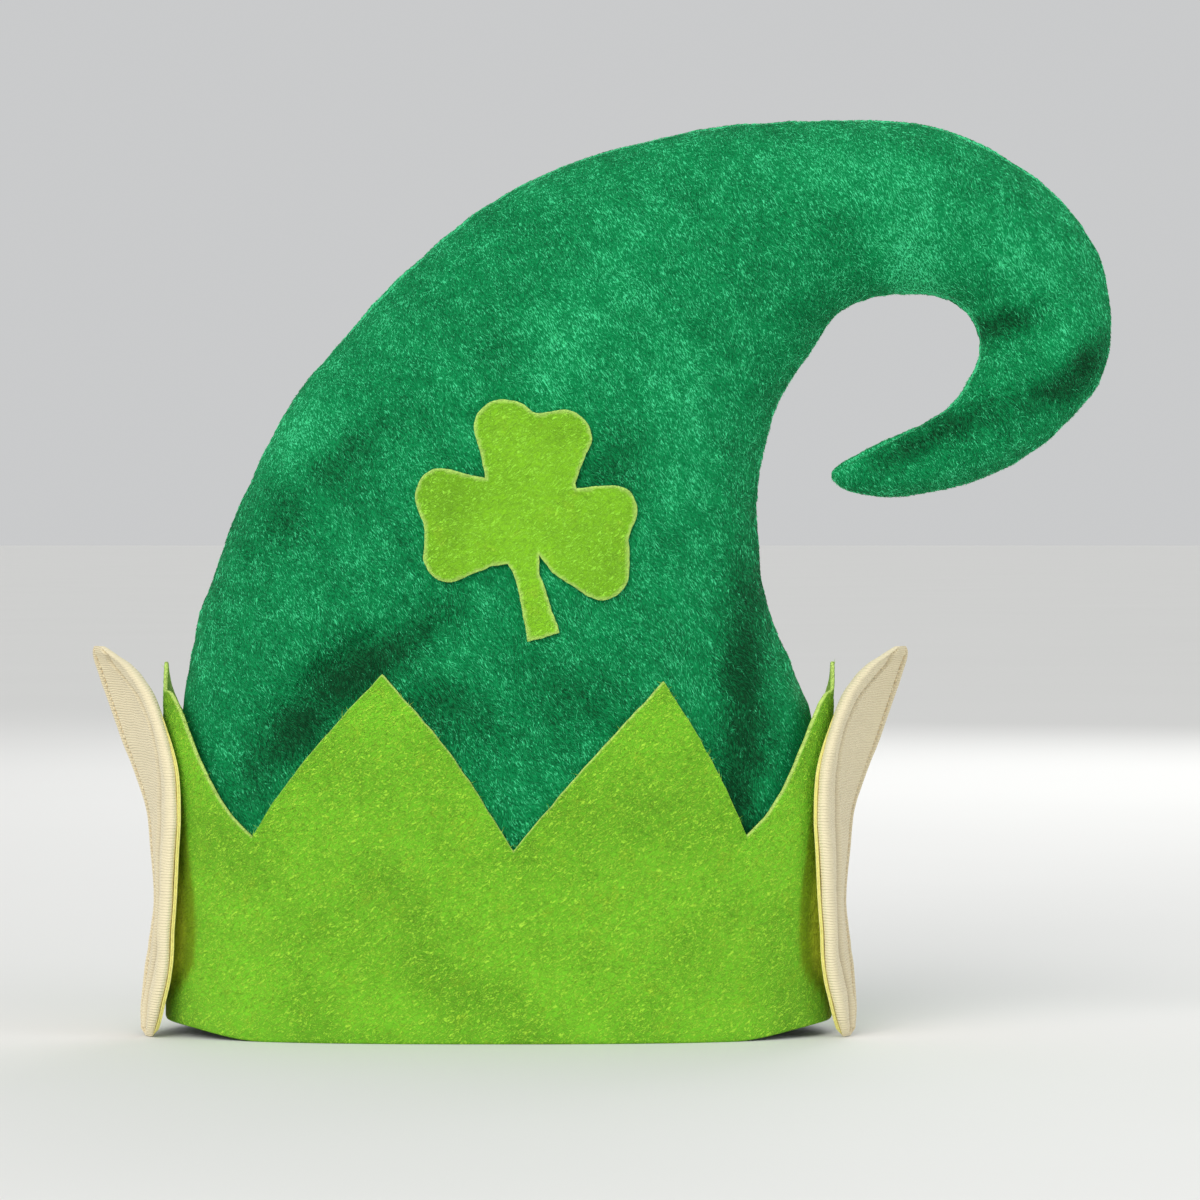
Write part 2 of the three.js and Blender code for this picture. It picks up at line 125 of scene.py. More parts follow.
# Narrow creases that only the cloth has, in the same terms as the dents
CROWN_CREASES = (
    (-0.62, 0.365, 0.05, 0.009, 48, 0.02),
    (-0.44, 0.42, 0.06, 0.009, 35, 0.02),
    (-0.22, 0.44, 0.05, 0.008, 20, 0.012),
    (0.72, 0.42, 0.05, 0.008, 82, 0.014),
    (0.6, 0.33, 0.05, 0.008, 75, 0.012),
    (1.5, 0.775, 0.03, 0.008, 15, 0.022),
    (1.6, 0.74, 0.025, 0.007, -20, 0.014),
    (1.78, 0.736, 0.022, 0.009, 40, 0.022),
    (1.66, 0.698, 0.028, 0.008, 10, 0.018),
    (1.33, 0.65, 0.04, 0.007, 26, 0.014),
    (1.47, 0.66, 0.02, 0.006, 60, 0.012),
)

# Patches where the plush is lighter (above 0) or darker, in the same terms, with a strength: some where the
# nap is brushed, some painted shade in folds and creases, some painted highlight on bends that face the light
NAP_AND_SHADE_PATCHES = (
    (-0.575, 0.35, 0.09, 0.034, 48, -0.95),
    (-0.29, 0.425, 0.065, 0.022, 38, -0.7),
    (-0.15, 0.36, 0.06, 0.035, -30, -0.45),
    (-0.68, 0.55, 0.05, 0.035, 60, -0.4),
    (-0.47, 0.63, 0.05, 0.02, 40, -0.4),
    (0.75, 0.42, 0.14, 0.03, 85, -0.7),
    (0.72, 0.26, 0.08, 0.03, 85, -0.6),
    (0.25, 0.37, 0.07, 0.04, 20, -0.3),
    (0.34, 0.62, 0.05, 0.035, 60, -0.45),
    (-0.6, 0.66, 0.04, 0.03, 40, 0.7),
    (-0.55, 0.37, 0.05, 0.02, 0, 0.2),
    (0.3, 0.8, 0.12, 0.04, 60, 0.45),
    (0.55, 0.68, 0.1, 0.04, 100, 0.35),
    (1.25, 0.85, 0.07, 0.035, 100, 0.9),
    (1.05, 0.94, 0.09, 0.03, 0, 0.4),
    (1.55, 0.86, 0.06, 0.03, -40, 0.5),
    (1.69, 0.75, 0.02, 0.015, 70, 0.6),
    (1.52, 0.775, 0.045, 0.016, 18, -0.75),
    (1.78, 0.736, 0.03, 0.018, 40, -0.7),
    (1.66, 0.698, 0.045, 0.018, 10, -0.55),
    (1.3, 0.65, 0.075, 0.018, 26, -0.7),
    (1.05, 0.62, 0.03, 0.02, 10, 0.3),
)

# The corners of the cuff's upper edge: face, across as a share of half the rim, height, and how far the run
# to the next corner bows and swells, all three as shares of the cuff's height
CUFF_EDGE = (
    (-1, -1.0, 1.03, -0.01, 0.13),
    (-1, -0.715, 0.56, 0.01, 0),
    (-1, -0.335, 1.005, 0.033, 0),
    (-1, 0.05, 0.525, 0.016, 0),
    (-1, 0.49, 0.985, 0.014, 0),
    (-1, 0.73, 0.56, -0.01, 0.13),
    (1, 1.0, 1.03, 0.06, 0),
    (1, 0.72, 0.56, 0.015, 0),
    (1, 0.4, 1.0, 0.02, 0),
    (1, 0.0, 0.54, 0.02, 0),
    (1, -0.4, 1.0, 0.015, 0),
    (1, -0.72, 0.56, 0.06, 0),
)

# The shamrock's leaves: turn, length as a share of a leaf's, and the reach of the first and second lobe
SHAMROCK_LEAVES = ((-16, 0.98, 1.0, 0.92), (87, 1.0, 0.975, 1.04), (183.5, 0.97, 1.0, 0.96))
# As shares of a leaf's length: half a leaf's outline, along and across, and the stem, along and its width
LEAF_OUTLINE = (
    (0.36, 0.42), (0.57, 0.48), (0.81, 0.55), (0.98, 0.49), (1.07, 0.32), (1.045, 0.13), (1.0, 0.0),
)
STEM_OUTLINE = ((0.344, 0.3), (0.515, 0.235), (0.85, 0.275), (1.095, 0.31))
STEM_TURN = -75.3
STEM_ASIDE = 0.135
SHAMROCK_X = 0.094 * HALF_WIDTH
SHAMROCK_Z = 0.562 * CROWN_HEIGHT

# The ear's level sections: up, front Y, front out, back Y, back out, dish, roll
EAR_SECTIONS = (
    (0.0, -0.39, 0.085, -0.33, 0.085, 0.0, 0.25),
    (0.02, -0.43, 0.08, -0.27, 0.085, 0.0, 0.62),
    (0.05, -0.47, 0.065, -0.17, 0.085, 0.0, 0.86),
    (0.1, -0.5, 0.04, -0.04, 0.08, 0.0, 1.0),
    (0.16, -0.51, 0.005, 0.07, 0.075, 0.0, 1.0),
    (0.23, -0.515, -0.03, 0.17, 0.053, -0.01, 1.0),
    (0.34, -0.515, -0.055, 0.3, 0.033, -0.02, 1.0),
    (0.473, -0.51, -0.07, 0.4, 0.068, -0.02, 1.0),
    (0.57, -0.5, -0.08, 0.44, 0.1, -0.005, 1.0),
    (0.68, -0.465, -0.065, 0.47, 0.19, 0.02, 1.0),
    (0.784, -0.39, -0.005, 0.48, 0.29, 0.035, 1.0),
    (0.88, -0.25, 0.09, 0.465, 0.37, 0.035, 1.0),
    (0.946, -0.06, 0.22, 0.43, 0.42, 0.02, 0.92),
    (0.98, 0.12, 0.34, 0.4, 0.45, 0.005, 0.7),
    (1.0, 0.25, 0.42, 0.34, 0.46, 0.0, 0.35),
)

# Where the painted shadow of an ear on the cuff begins: height, and reach from the rim's middle, in mm
EAR_SHADOW_EDGE = (
    (5, 122.2), (11, 120), (17, 115.5), (24, 112.1), (37, 111.3), (51, 112), (62, 113.6), (84, 116.2),
    (99, 121),
)

# How finely the pieces are built
CROWN_RINGS = 264
CROWN_COLUMNS = 84  # of a panel, from seam to seam
CROWN_LINING_RINGS = 66
RING_SAMPLES = 961  # of a section, before its columns are spread out
SEAM_STEPS = (0.5, 1.0, 1.6, 2.4, 3.4, 4.8, 7.0)  # mm from a seam
TIP_RINGS = 10
CUFF_STEPS = 48  # from one corner of the edge to the next
CUFF_ROWS = 34
CUFF_INNER_ROWS = 10
SHAMROCK_EDGE_STEP = 0.8  # mm
SHAMROCK_STEP = 1.3  # mm
EAR_RINGS = 160
EAR_SIDES = 112
WELT_RINGS = 150

TIP_START = 0.982  # where the hook's round tip begins, from 0 at the rim to 1
HEM_ROUND = 1.3  # mm, how far up the cuff's lower edge is round
CUT_ROUND = 0.4  # mm, how far a cut edge of the cuff is round
LEAF_ROUND = 0.35  # mm, the same on the shamrock
LEAF_LIFT = 0.5  # mm, how far the shamrock's edge stands off the plush
SEWN_ROLL = 5.0  # mm, the stuffed roll of an ear without the backing beside it
HEM = 1.6  # how far in an ear's back edge is stitched, as a share of the roll's radius

# The line sewn along an ear, as it shows from the front: height, and reach from the rim's middle, in mm
EAR_SEAM = (
    (14, 131.2), (22, 129.4), (32, 127.1), (40, 126.7), (82, 126.4), (95, 126.0),
    (103, 126.7), (110, 128.2), (119, 131.2), (126, 135.7), (133, 141.3), (136, 147.3),
)

# The front roll's two thin backing lips: along the ear's width, and away from its outer face, in mm
EAR_LIPS = (
    (-1.3, 0.0), (-1.9, 0.15), (-1.9, 0.45), (-1.45, 0.6), (-1.45, 0.7), (-1.8, 0.85), (-1.8, 1.1),
    (-1.4, 1.3), (1.0, 1.2), (4.0, 0.9), (4.0, 0.1), (1.0, 0.0),
)

PLUSH_SHEEN = (0.2, 1.0, 0.6)  # the tint of light that grazes the pile

# The stage, in metres: the camera looks at a point beside the rim's middle, a degree from above
VIEW_POINT = ((RIM_X + 37.9) * METRE, 0, 0.1616)
CAMERA_RISE = 1.0  # degrees
CAMERA_AWAY = 1.8
CAMERA_LENS = 144  # mm, on a sensor 36 mm wide
FLOOR_HALF = 30.0
# Name, kind, place, a sun's angle or a soft box's side, power, colour. A broad sun lights the floor evenly up
# to the horizon, and the soft boxes only shape the hat.
LIGHTS = (
    ("broad_light", "SUN", (-1.3, -2.2, 2.4), math.radians(50), 1.1, (1.0, 0.99, 0.97)),
    ("front_box", "AREA", (-0.8, -2.1, 0.9), 1.0, 16, (1.0, 0.99, 0.97)),
    ("side_box", "AREA", (1.9, -1.0, 0.8), 1.0, 9, (0.97, 0.985, 1.0)),
    ("back_box", "AREA", (0.6, 2.0, 1.2), 1.2, 12, (1.0, 1.0, 1.0)),
)
ROOM_COLOUR = (0.98, 0.99, 1.0, 1)
ROOM_LIGHT = 0.6


# Settings


def linear(code):
    """An sRGB hex colour, such as 0x0F8A50, as linear red, green and blue."""
    channels = [((code >> shift) & 255) / 255 for shift in (16, 8, 0)]
    return [c / 12.92 if c <= 0.04045 else ((c + 0.055) / 1.055) ** 2.4 for c in channels]


def length_setting(name, description, default, most=0.05):
    return FloatProperty(name=name, description=description, default=default, min=0, max=most, unit="LENGTH")


def colour_setting(name, description, code):
    return FloatVectorProperty(
        name=name, description=description, default=linear(code), subtype="COLOR", min=0, max=1, size=3
    )


class HatSizes(bpy.types.PropertyGroup):
    seam_depth: length_setting("Seam depth", "How far a seam of the crown pulls the plush in", 0.0011, 0.004)
    lump_height: length_setting("Lump height", "How far the crown swells between its dents", 0.001, 0.005)
    pile_length: length_setting("Pile length", "Length of a tuft of the plush", 0.0018, 0.01)
    pile_width: length_setting("Pile width", "Width of a tuft of the plush at its root", 0.0003, 0.002)
    pile_count: IntProperty(
        name="Pile count", description="Tufts on each panel of the crown", default=46000, min=100, max=49000
    )
    fuzz_count: IntProperty(
        name="Fuzz count", description="Loose fibres on the cuff's felt", default=26000, min=100, max=49000
    )
    edge_waver: length_setting("Edge waver", "How unevenly the felt is cut", 0.0004, 0.003)
    edge_curl: length_setting("Edge curl", "How far the cuff's points stand off the crown", 0.0012, 0.005)
    stitch_depth: length_setting("Stitch depth", "Depth of the sewn channel round an ear", 0.0013, 0.003)
    rib_pitch: length_setting("Rib pitch", "From one rib of the knit to the next", 0.0011, 0.005)


class HatColours(bpy.types.PropertyGroup):
    plush: colour_setting("Plush", "The dark green pile of the crown", 0x058A4D)
    plush_dark: colour_setting("Plush, shaded", "The pile where it is brushed away from the eye", 0x023A1B)
    plush_light: colour_setting("Plush, lit", "The tips of the pile that catch the light", 0x4CDC98)
    backing: colour_setting("Backing", "The knitted back of the plush, inside the crown", 0x0B5A38)
    felt: colour_setting("Felt", "The lime felt of the cuff", 0x7FD02D)
    felt_light: colour_setting("Felt, lit", "Loose fibres and cut edges of the cuff's felt", 0xB0E842)
    felt_yellow: colour_setting("Felt, yellow", "The yellower flecks in the felt", 0xA8CC30)
    # The next two colours are painted light: the ears' olive shadow on the cuff, and the paler light that the
    # ears reflect into the deepest part of it.
    ear_shadow: colour_setting("Stain", "The felt where glue has soaked it beside the ears", 0x7E9E12)
    ear_bounce_light: colour_setting("Stain, pale", "The glue itself, where it lies thickest", 0xD6E63C)
    shamrock: colour_setting("Shamrock", "The yellower lime felt of the shamrock", 0x8ACF28)
    knit: colour_setting("Knit", "The cream knit of the ears", 0xE8DCB8)
    knit_shade: colour_setting("Knit, shaded", "The knit in its channels and between its ribs", 0xCBB58E)
    welt: colour_setting("Ear backing", "The pale yellow layers behind the rolled edge of an ear", 0xEEE688)
    floor: colour_setting("Floor", "The plain floor that the hat stands on", 0xE4E4E2)


# Shared helpers


def catmull_rom(rows, t):
    """A uniform Catmull-Rom curve through rows, at each t from 0 to 1."""
    rows = np.asarray(rows, float)
    last = len(rows) - 1
    place = np.clip(t, 0, 1) * last
    i = np.floor(place).astype(int)
    w = (place - i)[:, None]
    p0, p1 = rows[np.maximum(i - 1, 0)], rows[i]
    p2, p3 = rows[np.minimum(i + 1, last)], rows[np.minimum(i + 2, last)]
    v0, v1 = (p2 - p0) / 2, (p3 - p1) / 2
    cubic = (2 * p1 - 2 * p2 + v0 + v1) * w**3
    return cubic + (3 * p2 - 3 * p1 - 2 * v0 - v1) * w**2 + v0 * w + p1


def smoothstep(x, low, high):
    s = np.clip((x - low) / (high - low), 0, 1)
    return s * s * (3 - 2 * s)


def superellipse(angle, power):
    cos, sin = np.cos(angle), np.sin(angle)
    return np.sign(cos) * np.abs(cos) ** (2 / power), np.sign(sin) * np.abs(sin) ** (2 / power)


def lift_sides(points):
    """The rim and what is near it rise a little towards the two sides."""
    side = smoothstep(np.abs(points[..., 0]) / HALF_WIDTH, 0.7, 1.02)
    fade = np.clip(1 - points[..., 2] / CUFF_HEIGHT, 0, 1)
    points[..., 2] += SIDE_LIFT * side * fade
    return points


def waves(points, size, seed=0):
    """Smooth noise from -1 to 1 with lumps of the given size in mm, at each point."""
    flat = points.reshape(-1, 3) / size + seed * 17.3
    values = [noise.noise(Vector(p)) for p in flat.tolist()]
    return np.array(values).reshape(points.shape[:-1])


def spots(x, z, table):
    """The sum of soft oval spots, each with its last number as its height."""
    total = np.zeros_like(x)
    for sx, sz, length, width, turn, height in table:
        dx, dz = x - sx * HALF_WIDTH, z - sz * CROWN_HEIGHT
        c, s = math.cos(math.radians(turn)), math.sin(math.radians(turn))
        along = (dx * c + dz * s) / (length * CROWN_HEIGHT)
        aside = (dz * c - dx * s) / (width * CROWN_HEIGHT)
        total += height * np.exp(-(along**2) - aside**2)
    return total


def grid_faces(rows, columns, start=0, wrap=True):
    """Quads between neighbouring rows of a grid of points."""
    r = np.arange(rows - 1)[:, None]
    c = np.arange(columns if wrap else columns - 1)[None, :]
    d = (c + 1) % columns
    quads = np.stack([r * columns + c, r * columns + d, (r + 1) * columns + d, (r + 1) * columns + c], -1)
    return (quads.reshape(-1, 4) + start).tolist()


def grid_normals(points):
    """Unit normals of a grid whose columns close into rings."""
    around = np.roll(points, -1, 1) - np.roll(points, 1, 1)
    along = np.gradient(points, axis=0)
    normals = np.cross(around, along)
    return normals / np.maximum(np.linalg.norm(normals, axis=-1, keepdims=True), 1e-9)


def make_piece(name, points, faces, materials, face_material=None, values=None, uv=None, smooth=True):
    """A new object at the origin from points in the tables' millimetres, with its place in its mesh."""
    mesh = bpy.data.meshes.new(name)
    placed = (np.asarray(points, float) + [RIM_X, 0, 0]) * METRE
    mesh.from_pydata(placed.tolist(), [], faces)
    for material in materials:
        mesh.materials.append(material)
    if face_material is not None:
        mesh.polygons.foreach_set("material_index", np.asarray(face_material, np.int32))
    for key, value in (values or {}).items():
        mesh.attributes.new(key, "FLOAT", "POINT").data.foreach_set("value", np.asarray(value, np.float32))
    if uv is not None:
        layer = mesh.uv_layers.new(name="Cloth")
        corners = np.empty(len(mesh.loops), np.int32)
        mesh.loops.foreach_get("vertex_index", corners)
        layer.data.foreach_set("uv", np.asarray(uv, np.float32)[corners].ravel())
    mesh.polygons.foreach_set("use_smooth", [smooth] * len(mesh.polygons))
    mesh.update()
    mesh.validate()
    piece = bpy.data.objects.new(name, mesh)
    bpy.context.scene.collection.objects.link(piece)
    return piece


def dress(piece, slot, *nodes):
    """Fixes a finished piece to the hat, in place of the CAD nodes that it stands for."""
    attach(piece, "root")
    if nodes:
        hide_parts(*nodes)


def node(tree, kind, inputs=None, **settings):
    """Adds a node with its settings, and sets or links its inputs by name or number."""
    new = tree.nodes.new(kind)
    for key, value in settings.items():
        setattr(new, key, value)
    for key, value in (inputs or {}).items():
        if isinstance(value, bpy.types.NodeSocket):
            tree.links.new(value, new.inputs[key])
        else:
            new.inputs[key].default_value = value
    return new


# Materials


def new_material(name):
    """An empty node material and its tree."""
    material = bpy.data.materials.new(name)
    material.use_nodes = True
    material.node_tree.nodes.clear()
    return material, material.node_tree


def opaque(colour):
    return (*colour, 1.0)


def darker(colour, share):
    return tuple(share * channel for channel in colour)


def strokes(tree, coordinates, turn, length, width, detail=2.0, distortion=0.0, seed=0.0):
    """Noise drawn out into strokes that lie at a turn about Y, with a real length and width in metres."""
    inputs = {
        "Vector": coordinates,
        "Location": (seed, 0.5 * seed, 0),
        "Rotation": (0, -math.radians(turn), 0),
        "Scale": (length, (length + width) / 2, width),
    }
    mapped = node(tree, "ShaderNodeMapping", inputs, vector_type="TEXTURE").outputs[0]
    inputs = {"Vector": mapped, "Scale": 1.0, "Detail": detail, "Roughness": 0.6, "Distortion": distortion}
    return node(tree, "ShaderNodeTexNoise", inputs, normalize=True).outputs[0]


def cloud(tree, coordinates, size, detail=2.0, seed=0.0):
    """Soft noise with lumps of a size in metres."""
    inputs = {"Vector": coordinates, "Location": (seed, seed, 0), "Scale": (size,) * 3}
    mapped = node(tree, "ShaderNodeMapping", inputs, vector_type="TEXTURE").outputs[0]
    return node(tree, "ShaderNodeTexNoise", {"Vector": mapped, "Scale": 1.0, "Detail": detail}).outputs[0]


def finish_material(tree, colour, roughness, height, distance, sheen, sheen_roughness, sheen_tint, specular):
    """Ends a cloth's tree: its colour, a bump of a depth in metres, and a soft sheen under a dull gloss."""
    bump = node(tree, "ShaderNodeBump", {"Height": height, "Distance": distance, "Strength": 1.0})
    inputs = {
        "Base Color": colour,
        "Roughness": roughness,
        "Normal": bump.outputs[0],
        "Sheen Weight": sheen,
        "Sheen Roughness": sheen_roughness,
        "Sheen Tint": opaque(sheen_tint),
        "Specular IOR Level": specular,
        "IOR": 1.5,
    }
    shader = node(tree, "ShaderNodeBsdfPrincipled", inputs)
    node(tree, "ShaderNodeOutputMaterial", {"Surface": shader.outputs[0]})


def plush_colour(tree, place, colours, pile, depth, spark, lit):
    """The plush's colour from its pile and its sparks.

    depth holds the pile's share, and the range over which the dark turns to green. lit holds the shares of
    the brushed tone with its painted shade and highlights, and of the clusters in a spark, and the range over
    which the green turns light.
    """
    # The hand-brushed nap, with painted shade in folds and creases and painted highlights on bends and beside
    # the seams, and faint drifts 16 to 30 mm long make the plush lighter or darker, about 0.5.
    nap_and_shading = node(tree, "ShaderNodeAttribute", attribute_name="nap_and_shading").outputs["Fac"]
    drift = strokes(tree, place, -48, 0.03, 0.016, detail=5.0, seed=0.5)
    drift = node(tree, "ShaderNodeMath", {0: drift, 1: 0.5, 2: 0.255}, operation="MULTIPLY_ADD").outputs[0]
    tone = node(tree, "ShaderNodeMath", {0: nap_and_shading, 1: 0.46, 2: drift}, operation="MULTIPLY_ADD").outputs[0]
    pile_share, dark, green = depth
    inputs = {0: pile, 1: pile_share, 2: tone}
    deep = node(tree, "ShaderNodeMath", inputs, operation="MULTIPLY_ADD").outputs[0]
    inputs = {"Value": deep, "From Min": dark, "From Max": green}
    deep = node(tree, "ShaderNodeMapRange", inputs, interpolation_type="SMOOTHSTEP").outputs[0]
    inputs = {0: deep, 6: opaque(colours.plush_dark), 7: opaque(colours.plush)}
    base = node(tree, "ShaderNodeMix", inputs, data_type="RGBA").outputs[2]
    # Tips that catch the light gather in clusters 6 mm wide.
    tone_share, cluster_share, dull, bright = lit
    cluster = cloud(tree, place, 0.006, detail=4.0, seed=0.4)
    inputs = {0: tone, 1: tone_share, 2: spark}
    fleck = node(tree, "ShaderNodeMath", inputs, operation="MULTIPLY_ADD").outputs[0]
    inputs = {0: cluster, 1: cluster_share, 2: fleck}
    fleck = node(tree, "ShaderNodeMath", inputs, operation="MULTIPLY_ADD").outputs[0]
    inputs = {"Value": fleck, "From Min": dull, "From Max": bright}
    fleck = node(tree, "ShaderNodeMapRange", inputs, interpolation_type="SMOOTHSTEP").outputs[0]
    inputs = {0: fleck, 6: base, 7: opaque(colours.plush_light)}
    return node(tree, "ShaderNodeMix", inputs, data_type="RGBA").outputs[2]


def plush_material(colours):
    """Polyester plush, its short pile brushed and crushed: small bright strokes on a deep green, in patches.

    The real fibres are thinner than a tenth of these strokes, which are as coarse as they need to show.
    """
    material, tree = new_material("polyester_plush_brushed")
    place = node(tree, "ShaderNodeTexCoord").outputs["Object"]
    # The pile lies in three main directions, and patches 14 to 18 mm wide choose between them.
    down = strokes(tree, place, -56, 0.0019, 0.00036)
    up = strokes(tree, place, -36, 0.0018, 0.00036, seed=0.31)
    steep = strokes(tree, place, -80, 0.0018, 0.00036, seed=0.67)
    inputs = {"Value": cloud(tree, place, 0.014, seed=0.2), "From Min": 0.42, "From Max": 0.58}
    choice = node(tree, "ShaderNodeMapRange", inputs, interpolation_type="SMOOTHSTEP").outputs[0]
    inputs = {"Value": cloud(tree, place, 0.018, seed=0.8), "From Min": 0.5, "From Max": 0.62}
    second = node(tree, "ShaderNodeMapRange", inputs, interpolation_type="SMOOTHSTEP").outputs[0]
    pair = node(tree, "ShaderNodeMix", {0: choice, 2: down, 3: up}, data_type="FLOAT").outputs[0]
    pile = node(tree, "ShaderNodeMix", {0: second, 2: pair, 3: steep}, data_type="FLOAT").outputs[0]
    inputs = {"Value": pile, "From Min": 0.34, "From Max": 0.66}
    crisp = node(tree, "ShaderNodeMapRange", inputs, interpolation_type="SMOOTHSTEP").outputs[0]
    spark = strokes(tree, place, -60, 0.0016, 0.00036, detail=1.0, seed=0.9)
    colour = plush_colour(tree, place, colours, crisp, (0.36, 0.22, 0.84), spark, (0.3, 0.3, 0.85, 1.07))
    rough = node(tree, "ShaderNodeMapRange", {"Value": pile, "To Min": 0.75, "To Max": 0.5}).outputs[0]
    finish_material(tree, colour, rough, pile, 0.0009, 0.08, 0.4, PLUSH_SHEEN, 0.1)
    return material


def tuft_material(colours):
    """The same plush, tuft by tuft: most tufts are the base green, a few catch the light."""
    material, tree = new_material("polyester_plush_tufts")
    place = node(tree, "ShaderNodeTexCoord").outputs["Object"]
    chance = node(tree, "ShaderNodeAttribute", attribute_name="chance").outputs["Fac"]
    colour = plush_colour(tree, place, colours, chance, (0.45, 0.3, 0.95), chance, (0.5, 0.5, 1.24, 1.46))
    finish_material(tree, colour, 0.5, chance, 0.0, 0.08, 0.4, PLUSH_SHEEN, 0.12)
    return material


def backing_material(colours):
    """Warp-knit backing of the plush: a flatter, duller green with wavy knit columns 2.4 mm apart.

    The real columns are about half as wide, and are drawn as coarse as they need to show.
    """
    material, tree = new_material("warp_knit_backing")
    place = node(tree, "ShaderNodeTexCoord").outputs["Object"]
    # A wave texture has 20 radians of its wave in each unit at a scale of 1.
    inputs = {"Vector": place, "Scale": 2 * math.pi / (20 * 0.0024), "Distortion": 1.0, "Detail": 1.0}
    knit = node(tree, "ShaderNodeTexWave", inputs, bands_direction="X").outputs["Fac"]
    shade = node(tree, "ShaderNodeMath", {0: knit, 1: 0.4}, operation="MULTIPLY").outputs[0]
    inputs = {0: shade, 6: opaque(colours.backing), 7: opaque(colours.plush_dark)}
    colour = node(tree, "ShaderNodeMix", inputs, data_type="RGBA").outputs[2]
    spread = cloud(tree, place, 0.02)
    spread = node(tree, "ShaderNodeMath", {0: spread, 1: 0.3}, operation="MULTIPLY").outputs[0]
    inputs = {0: spread, 6: colour, 7: opaque(colours.plush)}
    colour = node(tree, "ShaderNodeMix", inputs, data_type="RGBA").outputs[2]
    finish_material(tree, colour, 0.85, knit, 0.0004, 0.1, 0.6, (0.6, 1.0, 0.8), 0.2)
    return material


